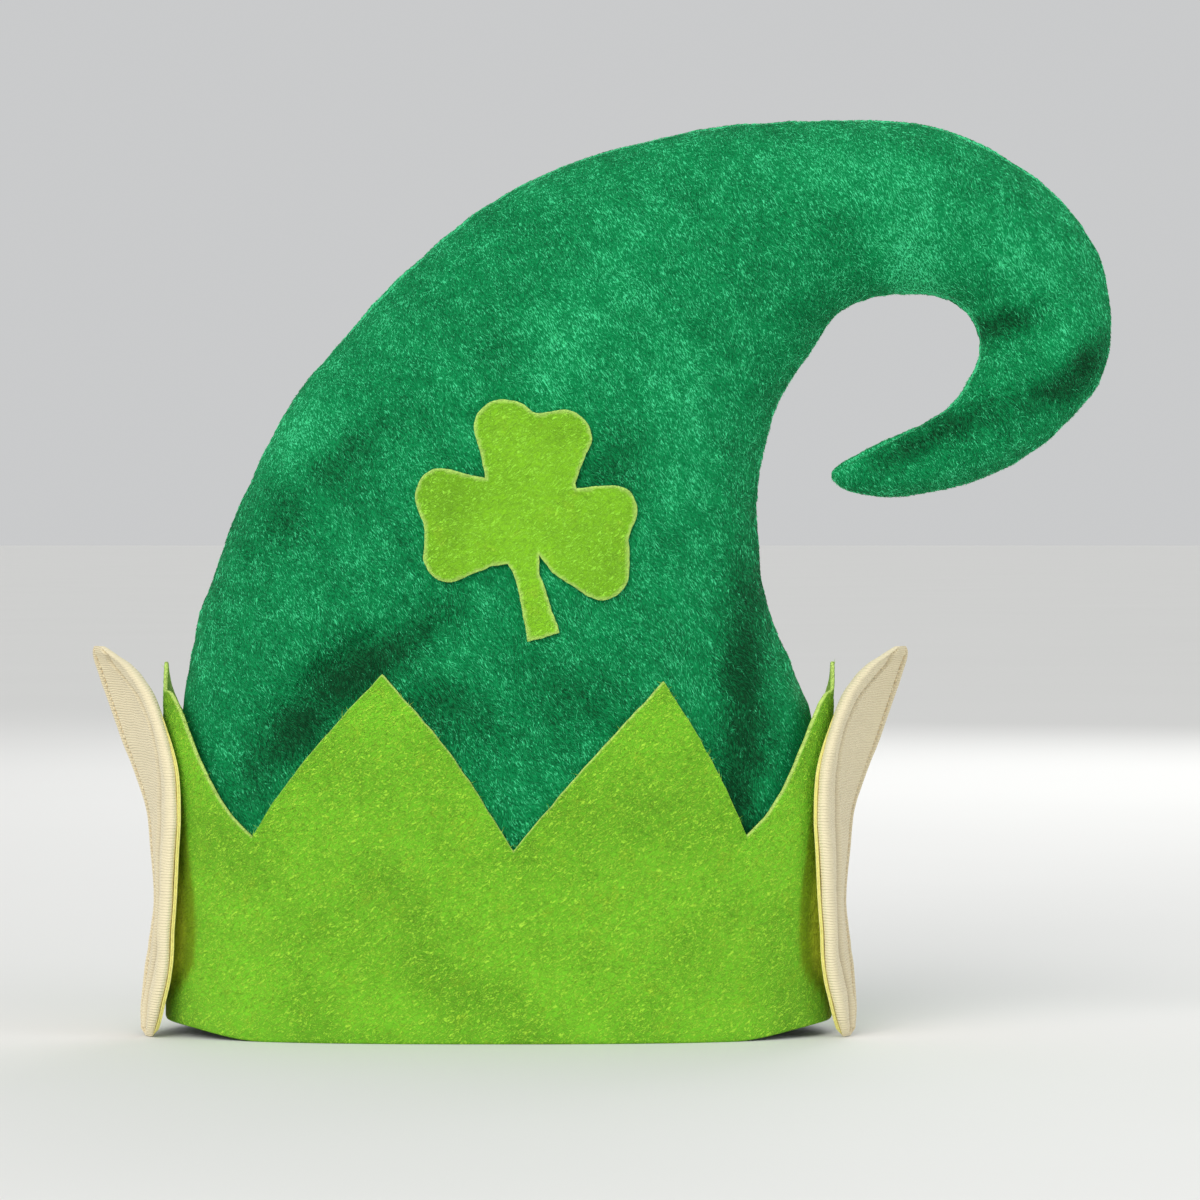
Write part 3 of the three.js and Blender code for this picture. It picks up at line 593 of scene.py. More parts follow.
def felt_material(name, colours, body, light):
    """Needled polyester felt 1.6 mm thick: matt, with wavy fibres, yellow flecks, a cut edge painted paler as
    a highlight, and painted shade beside the ears.
    """
    material, tree = new_material(name)
    place = node(tree, "ShaderNodeTexCoord").outputs["Object"]
    # Fibres lie in two main directions, and patches 5 mm wide choose between them.
    first = strokes(tree, place, 40, 0.0020, 0.00045, distortion=1.4)
    other = strokes(tree, place, -25, 0.0020, 0.00045, distortion=1.4, seed=0.37)
    inputs = {"Value": cloud(tree, place, 0.005, seed=0.3), "From Min": 0.42, "From Max": 0.58}
    choice = node(tree, "ShaderNodeMapRange", inputs, interpolation_type="SMOOTHSTEP").outputs[0]
    laid = node(tree, "ShaderNodeMix", {0: choice, 2: first, 3: other}, data_type="FLOAT").outputs[0]
    # The halfway lines of a fine noise wander like single fibres.
    curls = strokes(tree, place, 35, 0.0026, 0.0010, detail=1.0, distortion=1.0, seed=0.6)
    off = node(tree, "ShaderNodeMath", {0: curls, 1: 0.5}, operation="SUBTRACT").outputs[0]
    off = node(tree, "ShaderNodeMath", {0: off}, operation="ABSOLUTE").outputs[0]
    inputs = {"Value": off, "From Min": 0.07, "From Max": 0.0}
    single = node(tree, "ShaderNodeMapRange", inputs, interpolation_type="SMOOTHSTEP").outputs[0]
    fibres = node(tree, "ShaderNodeMath", {0: laid, 1: 0.75}, operation="MULTIPLY").outputs[0]
    fibres = node(tree, "ShaderNodeMath", {0: single, 1: 0.3, 2: fibres}, operation="MULTIPLY_ADD").outputs[0]
    # Patches 35 mm wide are a little deeper in colour.
    patch = cloud(tree, place, 0.035, detail=5.0, seed=0.9)
    deep = node(tree, "ShaderNodeMath", {0: fibres, 1: 0.9, 2: patch}, operation="MULTIPLY_ADD").outputs[0]
    inputs = {"Value": deep, "From Min": 0.55, "From Max": 1.1}
    deep = node(tree, "ShaderNodeMapRange", inputs, interpolation_type="SMOOTHSTEP").outputs[0]
    inputs = {0: deep, 6: opaque(darker(body, 0.6)), 7: opaque(body)}
    colour = node(tree, "ShaderNodeMix", inputs, data_type="RGBA").outputs[2]
    inputs = {"Value": fibres, "From Min": 0.48, "From Max": 0.66}
    upper = node(tree, "ShaderNodeMapRange", inputs, interpolation_type="SMOOTHSTEP").outputs[0]
    inputs = {0: upper, 6: colour, 7: opaque(light)}
    colour = node(tree, "ShaderNodeMix", inputs, data_type="RGBA").outputs[2]
    # Some of the loose fibres are light all over.
    chance = node(tree, "ShaderNodeAttribute", attribute_name="chance").outputs["Fac"]
    inputs = {"Value": chance, "From Min": 0.35, "From Max": 1.0}
    loose = node(tree, "ShaderNodeMapRange", inputs, interpolation_type="SMOOTHSTEP").outputs[0]
    inputs = {0: loose, 6: colour, 7: opaque(light)}
    colour = node(tree, "ShaderNodeMix", inputs, data_type="RGBA").outputs[2]
    # The yellow flecks follow the fibres.
    inputs = {"Value": cloud(tree, place, 0.008, detail=9.0, seed=0.1), "From Min": 0.56, "From Max": 0.7}
    warm = node(tree, "ShaderNodeMapRange", inputs, interpolation_type="SMOOTHSTEP").outputs[0]
    along = node(tree, "ShaderNodeMath", {0: single, 1: 0.4, 2: 0.1}, operation="MULTIPLY_ADD").outputs[0]
    warm = node(tree, "ShaderNodeMath", {0: warm, 1: along}, operation="MULTIPLY").outputs[0]
    inputs = {0: warm, 6: colour, 7: opaque(colours.felt_yellow)}
    colour = node(tree, "ShaderNodeMix", inputs, data_type="RGBA").outputs[2]
    # Painted highlight: where it is cut, the felt's edge is painted pale yellow, as the light catches it.
    edge = node(tree, "ShaderNodeAttribute", attribute_name="edge").outputs["Fac"]
    edge = node(tree, "ShaderNodeMath", {0: edge, 1: 0.9}, operation="MULTIPLY").outputs[0]
    pale = tuple(0.42 * cut + 0.58 * fibre for cut, fibre in zip((1.0, 1.0, 0.45), light))
    inputs = {0: edge, 6: colour, 7: opaque(pale)}
    colour = node(tree, "ShaderNodeMix", inputs, data_type="RGBA").outputs[2]
    # Painted shade: beside the ears the felt is painted olive as their shadow, tinted by the warm light they
    # reflect, and painted paler where that shadow lies deepest.
    ear_shadow = node(tree, "ShaderNodeAttribute", attribute_name="ear_shadow").outputs["Fac"]
    inputs = {0: ear_shadow, 6: colour, 7: opaque(colours.ear_shadow)}
    colour = node(tree, "ShaderNodeMix", inputs, data_type="RGBA").outputs[2]
    thick = node(tree, "ShaderNodeMath", {0: ear_shadow, 1: 1.0}, operation="SUBTRACT").outputs[0]
    inputs = {0: thick, 6: colour, 7: opaque(colours.ear_bounce_light)}
    colour = node(tree, "ShaderNodeMix", inputs, data_type="RGBA").outputs[2]
    finish_material(tree, colour, 0.9, fibres, 0.0009, 0.12, 0.6, (0.8, 1.0, 0.3), 0.1)
    return material


def knit_material(colours, pitch):
    """Ribbed polyester knit, brushed soft: fine ribs across the ear, with painted shade between them and in
    the sewn channels.
    """
    material, tree = new_material("ribbed_knit_cream")
    cloth = node(tree, "ShaderNodeUVMap", uv_map="Cloth").outputs[0]
    place = node(tree, "ShaderNodeTexCoord").outputs["Object"]
    up = node(tree, "ShaderNodeSeparateXYZ", {0: cloth}).outputs[1]
    # The UV map is in metres, so a full turn of the sine is one rib. Each rib wanders by under 2 mm.
    inputs = {0: cloud(tree, place, 0.009), 1: 0.0018, 2: up}
    turn = node(tree, "ShaderNodeMath", inputs, operation="MULTIPLY_ADD").outputs[0]
    turn = node(tree, "ShaderNodeMath", {0: turn, 1: 2 * math.pi / pitch}, operation="MULTIPLY").outputs[0]
    rib = node(tree, "ShaderNodeMath", {0: turn}, operation="SINE").outputs[0]
    rib = node(tree, "ShaderNodeMath", {0: rib, 1: 0.5, 2: 0.5}, operation="MULTIPLY_ADD").outputs[0]
    inputs = {0: cloud(tree, place, 0.0008, detail=1.0), 1: 0.5, 2: rib}
    shade = node(tree, "ShaderNodeMath", inputs, operation="MULTIPLY_ADD").outputs[0]
    inputs = {"Value": shade, "From Min": 0.0, "From Max": 0.85, "To Min": 1.0, "To Max": 0.0}
    between = node(tree, "ShaderNodeMapRange", inputs, interpolation_type="SMOOTHSTEP").outputs[0]
    # The ribs show most where the cloth is stretched over the edges.
    ribbed = node(tree, "ShaderNodeAttribute", attribute_name="ribbed").outputs["Fac"]
    depth = node(tree, "ShaderNodeMath", {0: ribbed, 1: 0.45, 2: 0.12}, operation="MULTIPLY_ADD").outputs[0]
    shaded = node(tree, "ShaderNodeMath", {0: depth, 1: between}, operation="MULTIPLY").outputs[0]
    inputs = {0: shaded, 6: opaque(colours.knit), 7: opaque(colours.knit_shade)}
    colour = node(tree, "ShaderNodeMix", inputs, data_type="RGBA").outputs[2]
    # Painted shade: the sewn channels are painted darker, as the shadow that lies in them.
    seam = node(tree, "ShaderNodeAttribute", attribute_name="seam").outputs["Fac"]
    seam = node(tree, "ShaderNodeMath", {0: seam, 1: 0.75}, operation="MULTIPLY").outputs[0]
    inputs = {0: seam, 6: colour, 7: opaque(darker(colours.knit_shade, 0.6))}
    colour = node(tree, "ShaderNodeMix", inputs, data_type="RGBA").outputs[2]
    finish_material(tree, colour, 0.85, rib, 0.00022, 0.2, 0.5, (1.0, 0.97, 0.88), 0.25)
    return material


def plain_cloth_material(name, colour, shade):
    """Thin cut cloth or thread: a fine uneven grain, nothing else at this size."""
    material, tree = new_material(name)
    place = node(tree, "ShaderNodeTexCoord").outputs["Object"]
    grain = cloud(tree, place, 0.0009, detail=3.0)
    inputs = {"Value": grain, "From Min": 0.35, "From Max": 0.65}
    share = node(tree, "ShaderNodeMapRange", inputs, interpolation_type="SMOOTHSTEP").outputs[0]
    inputs = {0: share, 6: opaque(shade), 7: opaque(colour)}
    mixed = node(tree, "ShaderNodeMix", inputs, data_type="RGBA").outputs[2]
    finish_material(tree, mixed, 0.85, grain, 0.0003, 0.2, 0.5, (1.0, 1.0, 0.8), 0.25)
    return material


def floor_material(colours):
    """Matt painted board: plain, with a barely uneven gloss."""
    material, tree = new_material("painted_board_matt")
    place = node(tree, "ShaderNodeTexCoord").outputs["Object"]
    uneven = cloud(tree, place, 0.4)
    rough = node(tree, "ShaderNodeMapRange", {"Value": uneven, "To Min": 0.7, "To Max": 0.85}).outputs[0]
    inputs = {0: uneven, 6: opaque(colours.floor), 7: opaque(darker(colours.floor, 0.97))}
    colour = node(tree, "ShaderNodeMix", inputs, data_type="RGBA").outputs[2]
    finish_material(tree, colour, rough, uneven, 0.0, 0.0, 0.5, (1, 1, 1), 0.2)
    return material


# The crown


def crown_section(t):
    """Middle, half width, direction across, half depth and squareness of the sections at t."""
    scale = np.array([HALF_WIDTH, CROWN_HEIGHT, HALF_WIDTH, CROWN_HEIGHT, HALF_DEPTH, 1])
    row = catmull_rom(np.array(CROWN_SECTIONS) * scale, t)
    outer, inner = row[:, 0:2], row[:, 2:4]
    across = inner - outer
    width = np.linalg.norm(across, axis=1)
    # The last 5 mm are turned in to a round tip.
    ended = np.sqrt(np.maximum(1 - (np.maximum(t - TIP_START, 0) / (1 - TIP_START)) ** 2, 0))
    return (outer + inner) / 2, width / 2 * ended, across / width[:, None], row[:, 4] * ended, row[:, 5]


def crown_rings(t, inset, extra_creases=False):
    """Dense rings of the crown at each t, moved in by inset, from the outer seam round the front."""
    middle, half_width, across, half_depth, power = crown_section(t)
    angle = np.linspace(math.pi, 3 * math.pi, RING_SAMPLES)[None, :]
    turn_x, turn_y = superellipse(angle, power[:, None])
    reach = np.maximum(half_width - inset, 0.3)[:, None]
    depth = np.maximum(half_depth - inset, 0.3)[:, None]
    x = middle[:, 0:1] + across[:, 0:1] * turn_x * reach
    z = middle[:, 1:2] + across[:, 1:2] * turn_x * reach
    dents = RIM_DEPTH * spots(x, z, CROWN_DENTS)
    if extra_creases:
        dents += RIM_DEPTH * spots(x, z, CROWN_CREASES)
    pressed = np.minimum(dents * np.abs(turn_y), depth / 2)
    y = turn_y * depth - np.sign(turn_y) * pressed * np.abs(turn_y)
    return lift_sides(np.stack([x, y, z], -1))


def spread_columns(length):
    """Where a panel's columns lie, from 0 to its length: close together beside the two seams."""
    even = length / CROWN_COLUMNS
    near = [min(step, (i + 1) * even) for i, step in enumerate(SEAM_STEPS)]
    between = np.linspace(near[-1], length - near[-1], CROWN_COLUMNS - 2 * len(near) + 1)
    return np.concatenate([[0], near[:-1], between, length - np.array(near[:-1])[::-1]])


def crown_grid(t, inset, shift=None, extra_creases=False):
    """Points of the crown in rings from the outer seam round the front, and each one's way from a seam."""
    dense = crown_rings(t, inset, extra_creases)
    rings = []
    from_seam = []
    for i, ring in enumerate(dense):
        steps_between = np.linalg.norm(np.diff(ring, axis=0), axis=1)
        arc = np.concatenate([[0], np.cumsum(steps_between)])
        half = arc[len(arc) // 2]
        outer_shift, inner_shift = (0, 0) if shift is None else (min(s, 0.2 * half) for s in shift[i])
        front = spread_columns(half - outer_shift - inner_shift)
        back = spread_columns(half + outer_shift + inner_shift)
        places = np.concatenate([outer_shift + front, half - inner_shift + back[1:-1]]) % arc[-1]
        rings.append(np.stack([np.interp(places, arc, ring[:, k]) for k in range(3)], -1))
        near_front = np.minimum(front, front[-1] - front)
        near_back = np.minimum(back, back[-1] - back)[1:-1]
        from_seam.append(np.concatenate([near_front, near_back]))
    return np.array(rings), np.array(from_seam)


def seam_shift(t):
    """How far to the front the outer and the inner seam lie, in mm."""
    wander = 0.7 * np.sin(23 * t) + 0.5 * np.sin(41 * t + 1)
    outer = 0.8 + wander + 1.6 * smoothstep(t, 0.25, 0.33) * (1 - smoothstep(t, 0.6, 0.7))
    inner = 0.6 + wander + 2.0 * smoothstep(t, 0.85, 0.93)
    return np.stack([outer, inner], -1)


def crown_surface(sizes):
    """The crown's outside as the sewn cloth has it, and its way from a seam."""
    t = TIP_START + (1 - TIP_START) * np.sin(np.linspace(0, math.pi / 2, TIP_RINGS + 1))
    t = np.concatenate([np.linspace(0, TIP_START, CROWN_RINGS)[:-1], t])
    points, from_seam = crown_grid(t, 0, seam_shift(t), extra_creases=True)
    normals = grid_normals(points)
    middle = points.mean(1)
    along = np.cumsum(np.linalg.norm(np.diff(middle, axis=0, prepend=middle[:1]), axis=1))
    # Lumps and seams are smaller where the crown is slim.
    roomy = np.clip(crown_section(t)[3] / 16, 0.25, 1)[:, None]
    swell = 0.9 * waves(points, 30) + 0.5 * waves(points, 13, 1) + 0.2 * waves(points, 6, 2)
    # Under the cuff the plush swells less, so that it stays clear of the felt.
    shown = smoothstep(points[..., 2] + 60 * smoothstep(points[..., 0], 130, 160), 60, 110)
    swell = np.where(swell > 0, swell * shown, swell * (0.4 + 0.6 * shown))
    groove = -np.exp(-((from_seam / 1.1) ** 2)) + 0.4 * np.exp(-(((from_seam - 3.2) / 1.8) ** 2))
    pucker = 0.35 * waves(points, 4.5, 3) + 0.12 * np.sin(along / 1.9)[:, None]
    pucker = pucker * np.exp(-from_seam / 5) * smoothstep(from_seam, 0.2, 2)
    moved = sizes.lump_height * 1000 * swell * roomy
    moved += sizes.seam_depth * 1000 * groove * np.minimum(roomy * 1.4, 1)
    moved += pucker * roomy * (0.25 + 0.75 * shown)
    return points + normals * moved[..., None], from_seam


def crown_nap_and_shading(points, from_seam):
    """How much lighter or darker the plush is painted: brushed patches, painted shade in folds and creases,
    painted highlights on bends, and a painted highlight beside the seams, where their edge catches the light,
    that shows most up high.
    """
    x, z = points[..., 0], points[..., 2]
    high = smoothstep(z, 0.5 * CROWN_HEIGHT, 0.75 * CROWN_HEIGHT)
    return spots(x, z, NAP_AND_SHADE_PATCHES) + (0.4 + 1.2 * high) * np.exp(-(((from_seam - 1.3) / 0.9) ** 2))


class HAT_OT_crown(bpy.types.Operator):
    """Sew the plush crown: two panels with an outer and an inner seam, dents, creases and a backing inside"""

    bl_idname = "hat.crown"
    bl_label = "Crown"

    def execute(self, context):
        hat = context.scene.hat
        outside, from_seam = crown_surface(hat.sizes)
        rings, columns = outside.shape[:2]
        tip = outside[-1:].mean(1)
        lining_t = np.linspace(0, 1, CROWN_LINING_RINGS + 1)
        _, half_width, _, half_depth, _ = crown_section(lining_t)
        lining_t = lining_t[np.minimum(half_width, half_depth) > PLUSH_WALL + 3.0]
        inside, _ = crown_grid(lining_t, PLUSH_WALL + 0.4)
        points = np.concatenate([outside.reshape(-1, 3), tip, inside.reshape(-1, 3), inside[-1:].mean(1)])
        tip_at, inside_at, end_at = rings * columns, rings * columns + 1, len(points) - 1
        faces = grid_faces(rings, columns)
        last = (rings - 1) * columns
        pairs = [(c, (c + 1) % columns) for c in range(columns)]
        faces += [(last + c, last + d, tip_at) for c, d in pairs]
        outer_count = len(faces)
        lining = [face[::-1] for face in grid_faces(len(inside), columns, inside_at)]
        last = inside_at + (len(inside) - 1) * columns
        lining += [(last + d, last + c, end_at) for c, d in pairs]
        lining += [(d, c, inside_at + c, inside_at + d) for c, d in pairs]
        faces += lining
        nap_and_shading = np.zeros(len(points))
        nap_and_shading[: rings * columns] = crown_nap_and_shading(outside, from_seam).ravel()
        crown = make_piece(
            "crown_plush",
            points,
            faces,
            [plush_material(hat.colours), backing_material(hat.colours)],
            face_material=[0] * outer_count + [1] * len(lining),
            values={"nap_and_shading": nap_and_shading},
        )
        dress(crown, "green_plush", "crown")
        return {"FINISHED"}


# Tufts and loose fibres


def fibre_tree(name):
    """Geometry nodes that scatter thin three-sided fibres over a cloth, combed in slowly turning patches."""
    tree = bpy.data.node_groups.new(name, "GeometryNodeTree")
    wanted = (
        ("Cloth", "NodeSocketGeometry", None),
        ("Density", "NodeSocketFloat", 1.0),
        ("Length", "NodeSocketFloat", 0.003),
        ("Width", "NodeSocketFloat", 0.0004),
        ("Rise", "NodeSocketFloat", 0.15),
        ("Comb", "NodeSocketVector", (0.55, 0.0, -0.85)),
        ("Comb Size", "NodeSocketFloat", 0.015),
        ("Stray", "NodeSocketFloat", 0.5),
        ("Seed", "NodeSocketInt", SEED),
        ("Finish", "NodeSocketMaterial", None),
    )
    for label, kind, default in wanted:
        socket = tree.interface.new_socket(label, in_out="INPUT", socket_type=kind)
        if default is not None:
            socket.default_value = default
    tree.interface.new_socket("Fibres", in_out="OUTPUT", socket_type="NodeSocketGeometry")
    given = node(tree, "NodeGroupInput").outputs
    growth = node(tree, "GeometryNodeInputNamedAttribute", {"Name": "growth"}, data_type="FLOAT").outputs[0]
    density = node(tree, "ShaderNodeMath", {0: given["Density"], 1: growth}, operation="MULTIPLY").outputs[0]
    inputs = {"Mesh": given["Cloth"], "Density": density, "Seed": given["Seed"]}
    scatter = node(tree, "GeometryNodeDistributePointsOnFaces", inputs, distribute_method="RANDOM")
    normal = scatter.outputs["Normal"]
    # The comb's direction turns slowly over the cloth, and each fibre strays from it.
    place = node(tree, "GeometryNodeInputPosition").outputs[0]
    scale = node(tree, "ShaderNodeMath", {0: 1.0, 1: given["Comb Size"]}, operation="DIVIDE").outputs[0]
    inputs = {"Vector": place, "Scale": scale, "Detail": 1.0}
    swirl = node(tree, "ShaderNodeTexNoise", inputs).outputs["Color"]
    inputs = {0: swirl, 1: (0.5, 0.5, 0.5)}
    swirl = node(tree, "ShaderNodeVectorMath", inputs, operation="SUBTRACT").outputs[0]
    swirl = node(tree, "ShaderNodeVectorMath", {0: swirl, 3: 3.0}, operation="SCALE").outputs[0]
    bias = node(tree, "ShaderNodeVectorMath", {0: swirl, 1: given["Comb"]}, operation="ADD").outputs[0]
    inputs = {0: (-1.0, -1.0, -1.0), 1: (1.0, 1.0, 1.0), "Seed": given["Seed"]}
    random = node(tree, "FunctionNodeRandomValue", inputs, data_type="FLOAT_VECTOR").outputs[0]
    stray = node(tree, "ShaderNodeVectorMath", {0: random, 3: given["Stray"]}, operation="SCALE").outputs[0]
    wish = node(tree, "ShaderNodeVectorMath", {0: bias, 1: stray}, operation="ADD").outputs[0]
    on_normal = node(tree, "ShaderNodeVectorMath", {0: wish, 1: normal}, operation="PROJECT").outputs[0]
    flat = node(tree, "ShaderNodeVectorMath", {0: wish, 1: on_normal}, operation="SUBTRACT").outputs[0]
    flat = node(tree, "ShaderNodeVectorMath", {0: flat}, operation="NORMALIZE").outputs[0]
    rise = node(tree, "ShaderNodeVectorMath", {0: normal, 3: given["Rise"]}, operation="SCALE").outputs[0]
    heading = node(tree, "ShaderNodeVectorMath", {0: flat, 1: rise}, operation="ADD").outputs[0]
    turned = node(tree, "FunctionNodeAlignRotationToVector", {"Vector": heading}, axis="Z").outputs[0]
    inputs = {"Rotation": turned, "Vector": normal}
    turned = node(tree, "FunctionNodeAlignRotationToVector", inputs, axis="X", pivot_axis="Z").outputs[0]
    cone = {"Vertices": 3, "Radius Top": 0.0, "Radius Bottom": 0.5, "Depth": 1.0}
    fibre = node(tree, "GeometryNodeMeshCone", cone, fill_type="NGON").outputs["Mesh"]
    inputs = {2: 0.55, 3: 1.35, "Seed": given["Seed"]}
    growth_share = node(tree, "FunctionNodeRandomValue", inputs, data_type="FLOAT").outputs[1]
    inputs = {0: given["Length"], 1: growth_share}
    long = node(tree, "ShaderNodeMath", inputs, operation="MULTIPLY").outputs[0]
    size = node(tree, "ShaderNodeCombineXYZ", {0: given["Width"], 1: given["Width"], 2: long}).outputs[0]
    inputs = {"Points": scatter.outputs["Points"], "Instance": fibre, "Rotation": turned, "Scale": size}
    placed = node(tree, "GeometryNodeInstanceOnPoints", inputs).outputs[0]
    chance = node(tree, "FunctionNodeRandomValue", {2: 0.0, 3: 1.0, "Seed": given["Seed"]}, data_type="FLOAT")
    inputs = {"Geometry": placed, "Name": "chance", "Value": chance.outputs[1]}
    marked = node(tree, "GeometryNodeStoreNamedAttribute", inputs, data_type="FLOAT", domain="INSTANCE")
    real = node(tree, "GeometryNodeRealizeInstances", {0: marked.outputs[0]}).outputs[0]
    done = node(tree, "GeometryNodeSetMaterial", {"Geometry": real, "Material": given["Finish"]}).outputs[0]
    node(tree, "NodeGroupOutput", {"Fibres": done})
    return tree


def run_tree(name, source, tree, given):
    """Runs geometry nodes on a source, and keeps the result as a plain mesh of its own."""
    modifier = source.modifiers.new(name, "NODES")
    modifier.node_group = tree
    for item in tree.interface.items_tree:
        if item.in_out == "INPUT" and item.name in given:
            modifier[item.identifier] = given[item.name]
    graph = bpy.context.evaluated_depsgraph_get()
    graph.update()
    mesh = bpy.data.meshes.new_from_object(source.evaluated_get(graph))
    source.modifiers.remove(modifier)
    mesh.name = name
    if len(mesh.polygons) == 0:
        raise RuntimeError(f"{tree.name} made nothing of {source.name}")
    piece = bpy.data.objects.new(name, mesh)
    bpy.context.scene.collection.objects.link(piece)
    return piece


def grow_fibres(name, cloth, tree, material, count, given):
    """Scatters a count of fibres over a cloth where its growth is above 0."""
    mesh = cloth.data
    growth = np.empty(len(mesh.vertices), np.float32)
    mesh.attributes["growth"].data.foreach_get("value", growth)
    share = sum(face.area * growth[list(face.vertices)].mean() for face in mesh.polygons)
    return run_tree(name, cloth, tree, {"Density": count / share, "Finish": material, **given})


def remove_piece(piece):
    mesh = piece.data
    bpy.data.objects.remove(piece)
    bpy.data.meshes.remove(mesh)


def shamrock_outline(count=14):
    """The shamrock's outline as points in X and Z, anticlockwise from the stem."""
    def place(along, aside, degrees):
        c, s = math.cos(math.radians(degrees)), math.sin(math.radians(degrees))
        return SHAMROCK_LEAF * np.array([along * c - aside * s, along * s + aside * c])

    def stem(sign):
        return [place(along, sign * width / 2 - STEM_ASIDE, STEM_TURN) for along, width in STEM_OUTLINE]

    outline = [stem(1)[0]]
    for turn, length, first, second in SHAMROCK_LEAVES:
        # The crotch and the notch stay where they are, whatever the lobe between them reaches.
        def half(sign, reach):
            crotch, *lobe, notch = LEAF_OUTLINE
            shares = [crotch, *((out * reach, across) for out, across in lobe), notch]
            return [place(out * length, sign * across * length, turn) for out, across in shares]

        edge = half(-1, first) + half(1, second)[-2::-1]
        outline += catmull_rom(edge, np.linspace(0, 1, count * (len(edge) - 1) // 3)).tolist()
    outline += stem(-1) + stem(1)[:0:-1]
    return np.array(outline) + [SHAMROCK_X, SHAMROCK_Z]


def even_outline(outline, step):
    """The closed outline with a point at least every step, its own corners kept."""
    points = []
    for a, b in zip(outline, np.roll(outline, -1, 0)):
        pieces = max(1, int(np.ceil(np.linalg.norm(b - a) / step)))
        points += [a + (b - a) * k / pieces for k in range(pieces)]
    return np.array(points)


def inside_outline(x, z, outline):
    """True where a point of the front lies inside a closed outline."""
    result = np.zeros(x.shape, bool)
    for (ax, az), (bx, bz) in zip(outline, np.roll(outline, -1, 0)):
        crosses = (az > z) != (bz > z)
        slope = (bx - ax) / np.where(bz == az, 1e-9, bz - az)
        result ^= crosses & (x < ax + (z - az) * slope)
    return result


def cuff_edge_height(x, y):
    """The cuff's upper edge in the direction of a point of the crown."""
    reach = (np.abs(x / HALF_WIDTH) ** RIM_POWER + np.abs(y / HALF_DEPTH) ** RIM_POWER) ** (1 / RIM_POWER)
    across = np.clip(x / HALF_WIDTH / np.maximum(reach, 1e-6), -1, 1)
    front = sorted((c[1], c[2]) for c in CUFF_EDGE if c[0] < 0 or abs(c[1]) == 1)
    back = sorted((c[1], c[2]) for c in CUFF_EDGE if c[0] > 0 or abs(c[1]) == 1)
    share = np.where(
        y < 0,
        np.interp(across, [p[0] for p in front], [p[1] for p in front]),
        np.interp(across, [p[0] for p in back], [p[1] for p in back]),
    )
    return CUFF_HEIGHT * share


class HAT_OT_pile(bpy.types.Operator):
    """Grow the crown's short pile on its front and back panel, where nothing covers the plush"""

    bl_idname = "hat.pile"
    bl_label = "Pile"

    def execute(self, context):
        hat = context.scene.hat
        outside, from_seam = crown_surface(hat.sizes)
        rings, columns = outside.shape[:2]
        x, y, z = (outside[..., k] for k in range(3))
        # The pile starts 4 mm under the cuff's edge.
        growth = np.where(z > cuff_edge_height(x, y) - 4, 1.0, 0.0)
        growth[inside_outline(x, z, shamrock_outline()) & (y < 0)] = 0
        growth *= 0.35 + 0.65 * smoothstep(from_seam, 0.4, 1.6)
        nap_and_shading = crown_nap_and_shading(outside, from_seam)
        tree = fibre_tree("pile_of_tufts")
        material = tuft_material(hat.colours)
        sides = (("crown_pile_front", 0, CROWN_COLUMNS), ("crown_pile_back", CROWN_COLUMNS, columns))
        for seed, (name, first, last) in enumerate(sides):
            take = np.arange(first, last + 1) % columns
            part = outside[:, take]
            cloth = make_piece(
                "cloth",
                part.reshape(-1, 3),
                grid_faces(rings, len(take), wrap=False),
                [material],
                values={"growth": growth[:, take].ravel(), "nap_and_shading": nap_and_shading[:, take].ravel()},
            )
            given = {
                "Length": hat.sizes.pile_length,
                "Width": hat.sizes.pile_width,
                "Rise": 0.12,
                "Comb Size": 0.013,
                "Stray": 0.75,
                "Seed": SEED + seed,
            }
            piece = grow_fibres(name, cloth, tree, material, hat.sizes.pile_count, given)
            remove_piece(cloth)
            dress(piece, "green_plush")
        return {"FINISHED"}


# The cuff


def crown_half_depth(z):
    """Half the crown's depth at a height of its lower half."""
    t = np.linspace(0, 0.5, 400)
    middle, _, _, half_depth, _ = crown_section(t)
    return np.interp(z, middle[:, 1], half_depth)


def cuff_points(direction, z, out):
    """Points of the felt in directions from the middle of the rim, moved out from its inner face."""
    dx, dy = direction[..., 0], direction[..., 1]
    reach = (np.abs(dx) ** RIM_POWER + np.abs(dy) ** RIM_POWER) ** (1 / RIM_POWER)
    x = dx / reach * (HALF_WIDTH + PIECE_GAP + out)
    y = dy / reach * (crown_half_depth(z) + PIECE_GAP + out)
    return lift_sides(np.stack([x, y, z + 0 * x], -1))


def cuff_profiles(sizes):
    """The direction and height of each column of the felt."""
    corners = []
    for face, across, height, bow, swell in CUFF_EDGE:
        y = (1 - abs(across) ** RIM_POWER) ** (1 / RIM_POWER)
        corners.append((across, face * y, height, bow, swell))
    corners = np.array(corners)
    share = np.linspace(0, 1, CUFF_STEPS, endpoint=False)[:, None]
    rows = []
    for corner, following in zip(corners, np.roll(corners, -1, 0)):
        row = corner[:3] * (1 - share) + following[:3] * share
        arch = np.sin(math.pi * share)
        row[:, 2:3] += corner[3] * arch + corner[4] * arch**3
        rows.append(np.concatenate([row, share], 1))
    rows = np.concatenate(rows)
    height = rows[:, 2] * CUFF_HEIGHT
    # Scissors leave short straight runs and small steps.
    around = np.stack([rows[:, 0] * HALF_WIDTH, rows[:, 1] * HALF_DEPTH, height], -1)
    waver = 0.9 * waves(around, 9, 5) + 0.6 * waves(around, 3.5, 6) + 0.8 * waves(around, 25, 7)
    pinned = np.minimum(1, 6 * np.minimum(rows[:, 3], 1 - rows[:, 3]) + 0.2)
    height = height + 1000 * sizes.edge_waver * 1.6 * waver * pinned
    return rows[:, :2], height


